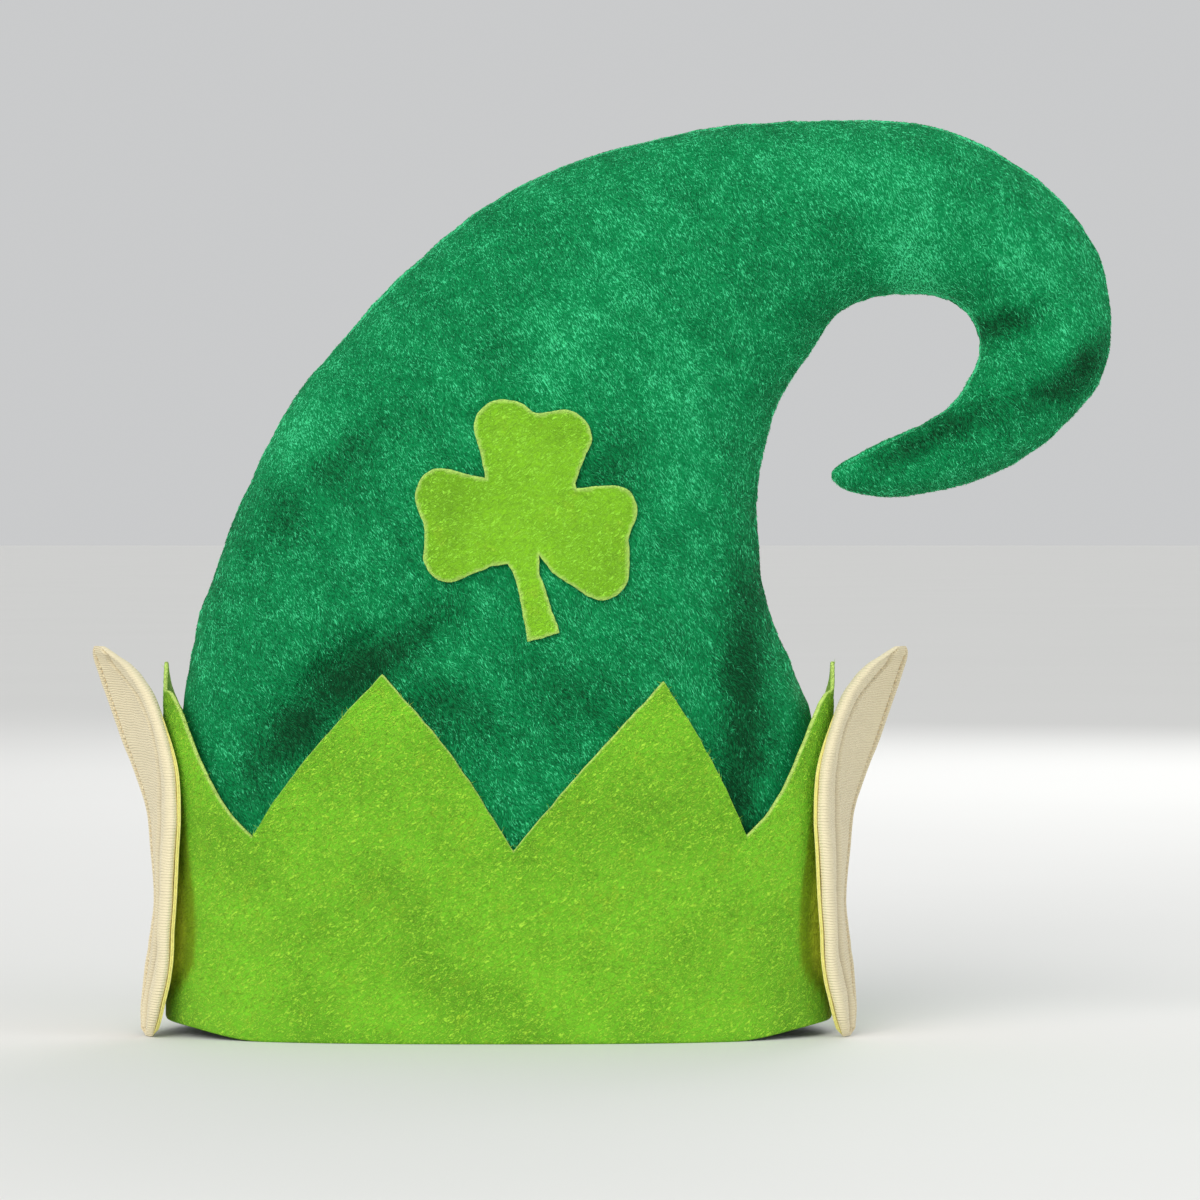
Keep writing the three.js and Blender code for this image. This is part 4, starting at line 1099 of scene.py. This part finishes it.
class HAT_OT_cuff(bpy.types.Operator):
    """Cut and fold the felt cuff with its six points, and grow loose fibres on it"""

    bl_idname = "hat.cuff"
    bl_label = "Cuff"

    def execute(self, context):
        hat = context.scene.hat
        direction, height = cuff_profiles(hat.sizes)
        columns = len(height)
        curl = 1000 * hat.sizes.edge_curl
        shadow_heights, shadow_reaches = np.array(EAR_SHADOW_EDGE).T
        profile, edge, growth, uv, ear_shadow = [], [], [], [], []
        base = cuff_points(direction, np.zeros(columns), np.zeros(columns))
        run = np.cumsum(np.linalg.norm(np.diff(base, axis=0, prepend=base[:1]), axis=1))

        def ring(z, out, pale, grown, across):
            """Adds a ring of the felt: its height, way out, painted highlight of the cut edge, fibres, and
            way across its edges.
            """
            lean = curl * smoothstep(z / np.maximum(height, 1), 0.55, 1.0) * (0.7 + 0.5 * waves(base, 40, 4))
            points = cuff_points(direction, z, out + lean)
            profile.append(points)
            edge.append(np.full(columns, pale))
            # No fibre grows so low that it could reach under the floor.
            growth.append(grown * smoothstep(z, 8, 14))
            uv.append(np.stack([run, z + across], -1) * METRE)
            # Painted shade: the ear's olive shadow on the cuff beside it, and above 1 a paler painted
            # reflection where that shadow lies deepest.
            outside = np.abs(points[:, 0]) - np.interp(z, shadow_heights, shadow_reaches)
            beside = 0.92 * smoothstep(outside, -0.8, 1.0) + smoothstep(outside, 2.5, 7)
            ear_shadow.append(beside * smoothstep(-points[:, 1], 1, 6) * (1 - smoothstep(z, 84, 99)))

        for z, out in ((0.35, 0.4), (0.0, 0.8), (0.35, 1.25)):
            ring(np.full(columns, z), out, 0, 0, 0)
        for level in np.linspace(0, 1, CUFF_ROWS) ** 0.9:
            z = HEM_ROUND + level * (height - 0.9 - HEM_ROUND)
            around = cuff_points(direction, z, np.zeros(columns))
            swell = 0.45 * waves(around, 45, 8) + 0.22 * waves(around, 16, 9) + 0.1 * waves(around, 6, 10)
            ring(z, FELT_WALL + swell * smoothstep(z, 2, 25), 0, 1, 0)
        # The rows at the cut edge are painted pale, a highlight where the edge catches the light.
        ring(height - CUT_ROUND, FELT_WALL - 0.02, 0.35, 1, 0)
        ring(height, FELT_WALL - CUT_ROUND, 1, 0, 0)
        ring(height, CUT_ROUND, 1, 0, FELT_WALL)
        for level in np.linspace(1, 0, CUFF_INNER_ROWS):
            z = HEM_ROUND + level * (height - CUT_ROUND - HEM_ROUND)
            ring(z, 0.0, 0.6 if level == 1 else 0, 0, 2 * FELT_WALL)
        rings = np.array(profile)
        rows = len(rings)
        faces = grid_faces(rows, columns)
        faces += [
            ((rows - 1) * columns + c, (rows - 1) * columns + (c + 1) % columns, (c + 1) % columns, c)
            for c in range(columns)
        ]
        colours = hat.colours
        material = felt_material("needled_felt_lime", colours, colours.felt, colours.felt_light)
        cuff = make_piece(
            "cuff_felt",
            rings.reshape(-1, 3),
            faces,
            [material],
            values={
                "edge": np.array(edge).ravel(),
                "growth": np.array(growth).ravel(),
                "ear_shadow": np.array(ear_shadow).ravel(),
            },
            uv=np.array(uv).reshape(-1, 2),
        )
        given = {
            "Length": 0.0026,
            "Width": 0.00026,
            "Rise": 0.05,
            "Comb": (0.0, 0.0, 0.0),
            "Comb Size": 0.006,
            "Stray": 0.9,
            "Seed": SEED + 3,
        }
        tree = fibre_tree("loose_felt_fibres")
        fuzz = grow_fibres("cuff_fuzz", cuff, tree, material, hat.sizes.fuzz_count, given)
        dress(cuff, "lime_felt", "cuff")
        dress(fuzz, "lime_felt")
        return {"FINISHED"}


# The shamrock


def upright(flat):
    """Points in X and Z as points of space, in the plane where Y is 0."""
    return np.stack([flat[:, 0], 0 * flat[:, 0], flat[:, 1]], -1)


class HAT_OT_shamrock(bpy.types.Operator):
    """Cut the felt shamrock and glue it to the front of the crown"""

    bl_idname = "hat.shamrock"
    bl_label = "Shamrock"

    def execute(self, context):
        hat = context.scene.hat
        outline = even_outline(shamrock_outline(), SHAMROCK_EDGE_STEP)
        outward = (outline - np.roll(outline, 2, 0)) + (np.roll(outline, -2, 0) - outline)
        outward = np.stack([outward[:, 1], -outward[:, 0]], -1)
        outward /= np.maximum(np.linalg.norm(outward, axis=1, keepdims=True), 1e-6)
        # Scissors leave the edge a little wavy.
        standing = upright(outline)
        wavy = 0.35 * waves(standing, 5, 11) + 0.2 * waves(standing, 2, 12)
        outline = outline + outward * wavy[:, None]
        core = outline - outward * LEAF_ROUND
        xs = np.arange(outline[:, 0].min(), outline[:, 0].max(), SHAMROCK_STEP)
        zs = np.arange(outline[:, 1].min(), outline[:, 1].max(), SHAMROCK_STEP)
        grid = np.stack(np.meshgrid(xs, zs), -1).reshape(-1, 2)
        clear = np.min(np.linalg.norm(grid[:, None] - core[None], axis=2), axis=1) > 0.7
        grid = grid[inside_outline(grid[:, 0], grid[:, 1], core) & clear]
        flat = np.concatenate([core, grid])
        loop = len(core)
        edges = [(i, (i + 1) % loop) for i in range(loop)]
        found = delaunay_2d_cdt([Vector(p) for p in flat.tolist()], edges, [], 1, 1e-5)
        flat = np.array([tuple(p) for p in found[0]])
        if len(flat) != loop + len(grid):
            raise RuntimeError("the shamrock's outline crosses itself")
        triangles = [tuple(face) for face in found[2]]
        crown = bpy.data.objects["crown_plush"]
        tree = BVHTree.FromObject(crown, bpy.context.evaluated_depsgraph_get())

        def on_crown(places, out):
            """Points in front of the plush, where felt that bridges its small dents would lie."""
            points = []
            for px, pz in places:
                near_hits = []
                for ox, oz in ((0, 0), (3, 0), (-3, 0), (0, 3), (0, -3)):
                    start = Vector(((px + ox + RIM_X) * METRE, -0.2, (pz + oz) * METRE))
                    hit = tree.ray_cast(start, Vector((0, 1, 0)))[0]
                    if hit is not None:
                        near_hits.append(hit.y * 1000)
                rest = min(near_hits[0], sum(near_hits) / len(near_hits))
                points.append((px, rest - out, pz))
            return np.array(points)

        bumps = 0.22 * waves(upright(flat), 9, 13)
        # The glue ends short of the edge, so the felt lifts there and is a little thicker.
        near = np.exp(-np.min(np.linalg.norm(flat[:, None] - core[None], axis=2), axis=1) / 3)
        front = on_crown(flat, PIECE_GAP + FELT_WALL)
        front[:, 1] -= bumps + LEAF_LIFT * near
        back = on_crown(flat, PIECE_GAP)
        back[:, 1] -= LEAF_LIFT * near * 0.8
        side_front = on_crown(outline, PIECE_GAP + FELT_WALL - LEAF_ROUND)
        side_back = on_crown(outline, PIECE_GAP + LEAF_ROUND)
        side_front[:, 1] -= LEAF_LIFT
        side_back[:, 1] -= LEAF_LIFT * 0.8
        count = len(flat)
        points = np.concatenate([front, back, side_front, side_back])
        faces = []
        for a, b, c in triangles:
            pa, pb, pc = flat[a], flat[b], flat[c]
            turn = (pb[0] - pa[0]) * (pc[1] - pa[1]) - (pb[1] - pa[1]) * (pc[0] - pa[0])
            # Seen from the front, X runs right and Z up, and such a face turns towards -Y.
            tri = (a, b, c) if turn > 0 else (a, c, b)
            faces.append(tri)
            faces.append(tuple(count + i for i in tri[::-1]))
        # Three bands round the edge join the front's outline, the two sides' and the back's.
        loops = (0, 2 * count, 2 * count + loop, count)
        for first, second in zip(loops, loops[1:]):
            for i in range(loop):
                j = (i + 1) % loop
                faces.append((first + j, first + i, second + i, second + j))
        # The cut edge is painted pale, a highlight where it catches the light, the front's rim a little less.
        edge = np.zeros(len(points))
        edge[2 * count :] = 1
        edge[:loop] = 0.7
        colours = hat.colours
        light = tuple(min(1, 1.25 * channel + 0.03) for channel in colours.shamrock)
        material = felt_material("needled_felt_yellow_lime", colours, colours.shamrock, light)
        shamrock = make_piece("shamrock_felt", points, faces, [material], values={"edge": edge})
        dress(shamrock, "leaf_felt", "shamrock")
        return {"FINISHED"}


# The ears


def ear_rows(t):
    """The ear's level sections at t, from 0 at the lobe to 1 at the tip, in mm."""
    scale = np.array([EAR_LENGTH] + [EAR_WIDTH] * 5 + [EAR_ROLL])
    return catmull_rom(np.array(EAR_SECTIONS) * scale, t)


def ear_half_thickness(inward, roll, web):
    """Half the ear's thickness at a way in from its nearer edge: a round roll that thins to the web."""
    round_part = np.sqrt(np.maximum(roll**2 - (roll - inward) ** 2, 0))
    share = smoothstep(inward, roll, 2.5 * roll)
    thin = roll + (np.minimum(roll, web / 2) - roll) * share
    return np.where(inward < roll, round_part, thin)


def cuff_side_reach(y, z, gap):
    """How far out the cuff's side reaches at a place beside it."""
    half_depth = crown_half_depth(z) + PIECE_GAP + FELT_WALL + gap
    share = np.clip(np.abs(y) / half_depth, 0, 1)
    return (CUFF_SIDE + gap) * (1 - share**RIM_POWER) ** (1 / RIM_POWER)


def ear_frame(t):
    """The ear's edges and roll as sewn. The roll is slimmer than its solid, which holds the backing too."""
    up, front_y, front_out, back_y, back_out, dish, diameter = ear_rows(t).T
    diameter = diameter * SEWN_ROLL / EAR_ROLL
    full = diameter / SEWN_ROLL
    # The foot of the front edge is tucked in against the cuff.
    tucked = 1.8 * (1 - smoothstep(up, 18, 42))
    return up, front_y, front_out + 0.2 * full - tucked, back_y, back_out + 1.7 * full, dish, diameter


def ear_seam_lead(height, reach, from_front):
    """How far behind the front edge the sewn line runs at each level of the face that is seen."""
    heights, reaches = np.array(EAR_SEAM).T
    wanted = np.interp(height, heights, reaches)
    rising = np.maximum.accumulate(reach, axis=1) + 1e-5 * np.arange(reach.shape[1])
    lead = np.array([np.interp(w, r, f) for w, r, f in zip(wanted, rising, from_front)])
    return np.convolve(np.pad(lead, 6, mode="edge"), np.ones(13) / 13, "valid")


def ear_grid(sizes):
    """Points of the right ear, level by level, with how much of a sewn channel each lies in."""
    t = np.linspace(0, 1, EAR_RINGS + 1)
    up, front_y, front_out, back_y, back_out, dish, diameter = ear_frame(t)
    front = np.stack([front_out, front_y], -1)
    back = np.stack([back_out, back_y], -1)
    along = back - front
    chord = np.linalg.norm(along, axis=1)
    along = along / chord[:, None]
    outward = np.stack([along[:, 1], -along[:, 0]], -1)
    half = (chord + diameter)[:, None] / 2
    angle = np.arange(EAR_SIDES)[None, :] * 2 * math.pi / EAR_SIDES
    share = -np.cos(angle)
    face = np.sign(np.round(np.sin(angle), 9))
    roll = diameter[:, None] / 2
    from_front, from_back = (1 + share) * half, (1 - share) * half
    # The front roll is broad and flat, the back edge a narrow hem.
    broad = 1 + 0.7 * smoothstep(-share, -0.3, 0.3)
    thickness = ear_half_thickness(np.minimum(from_front, from_back) / broad, roll, EAR_WEB)
    sunk = dish[:, None] * (1 - share**2)
    middle = (front + back) / 2
    base = middle[:, None] + along[:, None] * (share * half)[..., None] - outward[:, None] * sunk[..., None]
    outer = slice(1, EAR_SIDES // 2)
    lead = ear_seam_lead(
        PIECE_GAP + up,
        (base + outward[:, None] * thickness[..., None])[:, outer, 0] + CUFF_SIDE,
        from_front[:, outer],
    )[:, None]
    lead = np.clip(lead, 2.4 * roll, np.maximum(2 * half - 3 * roll, 2.4 * roll))
    # Seen from the front the outer face is foreshortened, so a channel that shows there is broad.
    spread = np.clip(0.42 / np.maximum(along[:, :1], 0.05), 0.8, 2.4)
    room = (smoothstep(t, 0.02, 0.07) * (1 - smoothstep(t, 0.93, 0.985)))[:, None]
    stitched = np.exp(-(((from_front - lead) / spread) ** 2)) * room * (face > 0)
    hemmed = np.exp(-(((from_back - HEM * roll) / 0.7) ** 2)) * room * (face > 0)
    puff = np.exp(-(((from_front - lead) / spread - 2.6) ** 2)) * room * (face > 0)
    depth = 1000 * sizes.stitch_depth * np.maximum(stitched, 0.6 * hemmed)
    thickness = thickness - depth + 0.5 * puff
    ribbed = smoothstep((from_front - lead) / spread, 0, 2) * (0.55 + 0.45 * np.abs(np.sin(up / 17))[:, None])
    ribbed = np.maximum(ribbed, 0.9 * (from_back < HEM * roll))
    flat = base + outward[:, None] * (face * thickness)[..., None]
    z = np.broadcast_to(PIECE_GAP + up[:, None], flat.shape[:2])
    points = np.stack([CUFF_SIDE + flat[..., 0], flat[..., 1], z], -1)
    normals = grid_normals(points)
    lumps = 0.3 * waves(points, 14, 14) + 0.12 * waves(points, 5, 15)
    tuck = 0.2 * np.sin(up * 2 * math.pi / 2.6)[:, None] * np.maximum(stitched, hemmed)
    fade = smoothstep(t, 0, 0.05) * (1 - smoothstep(t, 0.95, 1))
    points = points + normals * ((lumps + tuck) * fade[:, None])[..., None]
    seat = cuff_side_reach(points[..., 1], points[..., 2], 0.45)
    covered = points[..., 0] < seat
    points[..., 0] = np.where(covered, seat, points[..., 0])
    arc = np.cumsum(np.linalg.norm(np.diff(points, axis=1, prepend=points[:, :1]), axis=2), axis=1)
    run = np.cumsum(np.linalg.norm(np.diff(middle, axis=0, prepend=middle[:1]), axis=1) * 0.3) + up
    uv = np.stack([arc, np.broadcast_to(run[:, None], arc.shape)], -1) * METRE
    rows = np.flatnonzero(room[:, 0] > 0.5)
    sewn = [
        np.array([
            [np.interp(at[r, 0], from_front[r, outer], points[r, outer, k]) for k in range(3)] for r in rows
        ])
        for at in (lead, 2 * half - HEM * roll)
    ]
    # The seam mark carries the painted shade of the sewn channels.
    return points, {"seam": np.maximum(stitched, 0.7 * hemmed), "ribbed": ribbed}, uv, sewn


def mirror_x(points, side):
    return points * [side, 1, 1]


def ear_welt(sizes):
    """The two thin layers that show behind the rolled front edge of the right ear."""
    t = np.linspace(0.02, 0.79, WELT_RINGS)
    up, front_y, front_out, back_y, back_out, _, diameter = ear_frame(t)
    front = np.stack([front_out, front_y], -1)
    along = np.stack([back_out, back_y], -1) - front
    along /= np.linalg.norm(along, axis=1)[:, None]
    outward = np.stack([along[:, 1], -along[:, 0]], -1)
    roll = diameter / 2
    rings = []
    fade = smoothstep(t, 0.02, 0.08) * (1 - smoothstep(t, 0.64, 0.79))
    for a, b in EAR_LIPS:
        uneven = 0.25 * waves(np.stack([up, up * 0 + a, up * 0 + b], -1), 4, 16) if a < -1 else 0
        flat = front + along * (a * (0.5 + 0.5 * fade) + uneven)[:, None]
        flat = flat - outward * (roll - 0.45 + b * fade)[:, None]
        rings.append(np.stack([CUFF_SIDE + flat[:, 0], flat[:, 1], PIECE_GAP + up], -1))
    points = np.array(rings).transpose(1, 0, 2)
    seat = cuff_side_reach(points[..., 1], points[..., 2], 0.3)
    points[..., 0] = np.maximum(points[..., 0], seat)
    return points


def close_ends(points, rows, columns):
    """Adds a middle point at each end of a grid of rings, and the fans that close it."""
    flat = points.reshape(-1, 3)
    flat = np.concatenate([flat, points[:1].mean(1), points[-1:].mean(1)])
    faces = grid_faces(rows, columns)
    first, last, end = rows * columns, rows * columns + 1, (rows - 1) * columns
    faces += [((c + 1) % columns, c, first) for c in range(columns)]
    faces += [(end + c, end + (c + 1) % columns, last) for c in range(columns)]
    return flat, faces


def stitch_tree():
    """Geometry nodes that lay sewn stitches end to end along a line."""
    tree = bpy.data.node_groups.new("sewn_stitches", "GeometryNodeTree")
    for label, kind, default in (
        ("Line", "NodeSocketGeometry", None),
        ("Pitch", "NodeSocketFloat", 0.0019),
        ("Length", "NodeSocketFloat", 0.0014),
        ("Width", "NodeSocketFloat", 0.0012),
        ("Finish", "NodeSocketMaterial", None),
    ):
        socket = tree.interface.new_socket(label, in_out="INPUT", socket_type=kind)
        if default is not None:
            socket.default_value = default
    tree.interface.new_socket("Stitches", in_out="OUTPUT", socket_type="NodeSocketGeometry")
    given = node(tree, "NodeGroupInput").outputs
    line = node(tree, "GeometryNodeMeshToCurve", {0: given["Line"]}).outputs[0]
    inputs = {"Curve": line, "Length": given["Pitch"]}
    points = node(tree, "GeometryNodeCurveToPoints", inputs, mode="LENGTH")
    inputs = {"Vector": points.outputs["Tangent"]}
    turned = node(tree, "FunctionNodeAlignRotationToVector", inputs, axis="Z").outputs[0]
    inputs = {"Segments": 8, "Rings": 5, "Radius": 0.5}
    stitch = node(tree, "GeometryNodeMeshUVSphere", inputs).outputs["Mesh"]
    inputs = {0: given["Width"], 1: given["Width"], 2: given["Length"]}
    size = node(tree, "ShaderNodeCombineXYZ", inputs).outputs[0]
    inputs = {"Points": points.outputs["Points"], "Instance": stitch, "Rotation": turned, "Scale": size}
    placed = node(tree, "GeometryNodeInstanceOnPoints", inputs).outputs[0]
    real = node(tree, "GeometryNodeRealizeInstances", {0: placed}).outputs[0]
    done = node(tree, "GeometryNodeSetMaterial", {"Geometry": real, "Material": given["Finish"]}).outputs[0]
    node(tree, "NodeGroupOutput", {"Stitches": done})
    return tree


class HAT_OT_ears(bpy.types.Operator):
    """Stuff and stitch the two knitted ears and set them against the sides of the cuff"""

    bl_idname = "hat.ears"
    bl_label = "Ears"

    def execute(self, context):
        hat = context.scene.hat
        knit = knit_material(hat.colours, hat.sizes.rib_pitch)
        colours = hat.colours
        welt_cloth = plain_cloth_material("thin_felt_pale_yellow", colours.welt, darker(colours.welt, 0.85))
        thread = plain_cloth_material("polyester_sewing_thread", colours.knit, colours.knit_shade)
        points, marks, uv, sewn = ear_grid(hat.sizes)
        marks = {label: np.concatenate([mark.ravel(), [0, 0]]) for label, mark in marks.items()}
        lips = ear_welt(hat.sizes)
        sewing = stitch_tree()
        for name, side in (("ear_left", -1), ("ear_right", 1)):
            flat, faces = close_ends(points, *points.shape[:2])
            turned = faces if side < 0 else [face[::-1] for face in faces]
            cloth = np.concatenate([uv.reshape(-1, 2), uv[0, :1], uv[-1, :1]])
            ear = make_piece(f"{name}_knit", mirror_x(flat, side), turned, [knit], values=marks, uv=cloth)
            dress(ear, "cream_knit", name)
            flat, faces = close_ends(lips, *lips.shape[:2])
            turned = faces if side > 0 else [face[::-1] for face in faces]
            welt = make_piece(f"{name}_welt", mirror_x(flat, side), turned, [welt_cloth])
            dress(welt, "cream_knit")
            line = make_piece("line", mirror_x(np.concatenate(sewn), side), [], [thread])
            front, back = (len(run) for run in sewn)
            ends = [(i, i + 1) for i in range(front + back - 1) if i != front - 1]
            line.data.edges.add(len(ends))
            line.data.edges.foreach_set("vertices", np.array(ends).ravel())
            stitches = run_tree(f"{name}_stitches", line, sewing, {"Finish": thread})
            remove_piece(line)
            dress(stitches, "cream_knit")
        return {"FINISHED"}


# The stage


def aim(thing, place, target):
    thing.location = place
    thing.rotation_euler = (Vector(target) - Vector(place)).to_track_quat("-Z", "Y").to_euler()


class HAT_OT_stage(bpy.types.Operator):
    """Lay a plain floor, hang soft studio lights and stand the camera in front of the hat"""

    bl_idname = "hat.stage"
    bl_label = "Stage"

    def execute(self, context):
        scene = context.scene
        floor_mesh = bpy.data.meshes.new("floor")
        signs = ((-1, -1), (1, -1), (1, 1), (-1, 1))
        corners = [(FLOOR_HALF * across, FLOOR_HALF * back, 0) for across, back in signs]
        floor_mesh.from_pydata(corners, [], [(0, 1, 2, 3)])
        floor_mesh.materials.append(floor_material(scene.hat.colours))
        floor = bpy.data.objects.new("floor", floor_mesh)
        scene.collection.objects.link(floor)
        for name, kind, place, size, power, colour in LIGHTS:
            data = bpy.data.lights.new(name, kind)
            data.energy = power
            data.color = colour
            if kind == "SUN":
                data.angle = size
            else:
                data.shape = "SQUARE"
                data.size = size
            light = bpy.data.objects.new(name, data)
            scene.collection.objects.link(light)
            aim(light, place, VIEW_POINT)
        world = bpy.data.worlds.new("pale_room")
        world.use_nodes = True
        background = world.node_tree.nodes["Background"].inputs
        background["Color"].default_value = ROOM_COLOUR
        background["Strength"].default_value = ROOM_LIGHT
        scene.world = world
        scene.view_settings.view_transform = "Standard"
        camera_data = bpy.data.cameras.new("camera")
        camera_data.lens = CAMERA_LENS
        camera_data.sensor_width = 36
        camera_data.clip_end = 100
        camera = bpy.data.objects.new("camera", camera_data)
        scene.collection.objects.link(camera)
        rise = math.radians(CAMERA_RISE)
        away = Vector((0, -math.cos(rise), math.sin(rise))) * CAMERA_AWAY
        aim(camera, Vector(VIEW_POINT) + away, VIEW_POINT)
        scene.camera = camera
        return {"FINISHED"}


# The add-on


class HatSettings(bpy.types.PropertyGroup):
    sizes: PointerProperty(type=HatSizes, name="Sizes", description="Sizes of the cloth and its details")
    colours: PointerProperty(type=HatColours, name="Colours", description="Colours of the cloths and floor")


STEPS = (HAT_OT_crown, HAT_OT_pile, HAT_OT_cuff, HAT_OT_shamrock, HAT_OT_ears, HAT_OT_stage)


class HAT_PT_build(bpy.types.Panel):
    """Lists the steps that build the hat, with its sizes and colours"""

    bl_idname = "HAT_PT_build"
    bl_label = "Leprechaun hat"
    bl_space_type = "VIEW_3D"
    bl_region_type = "UI"
    bl_category = "Hat"

    def draw(self, context):
        hat = context.scene.hat
        for step in STEPS:
            self.layout.operator(step.bl_idname)
        for group in (hat.sizes, hat.colours):
            column = self.layout.column()
            for key in group.bl_rna.properties.keys():
                if key not in ("rna_type", "name"):
                    column.prop(group, key)


CLASSES = (HatSizes, HatColours, HatSettings, *STEPS, HAT_PT_build)


def register():
    for cls in CLASSES:
        bpy.utils.register_class(cls)
    bpy.types.Scene.hat = PointerProperty(type=HatSettings)


def unregister():
    del bpy.types.Scene.hat
    for cls in reversed(CLASSES):
        bpy.utils.unregister_class(cls)


def main():
    register()
    bpy.ops.hat.crown()
    bpy.ops.hat.pile()
    bpy.ops.hat.cuff()
    bpy.ops.hat.shamrock()
    bpy.ops.hat.ears()
    bpy.ops.hat.stage()


if __name__ == "__main__":
    main()
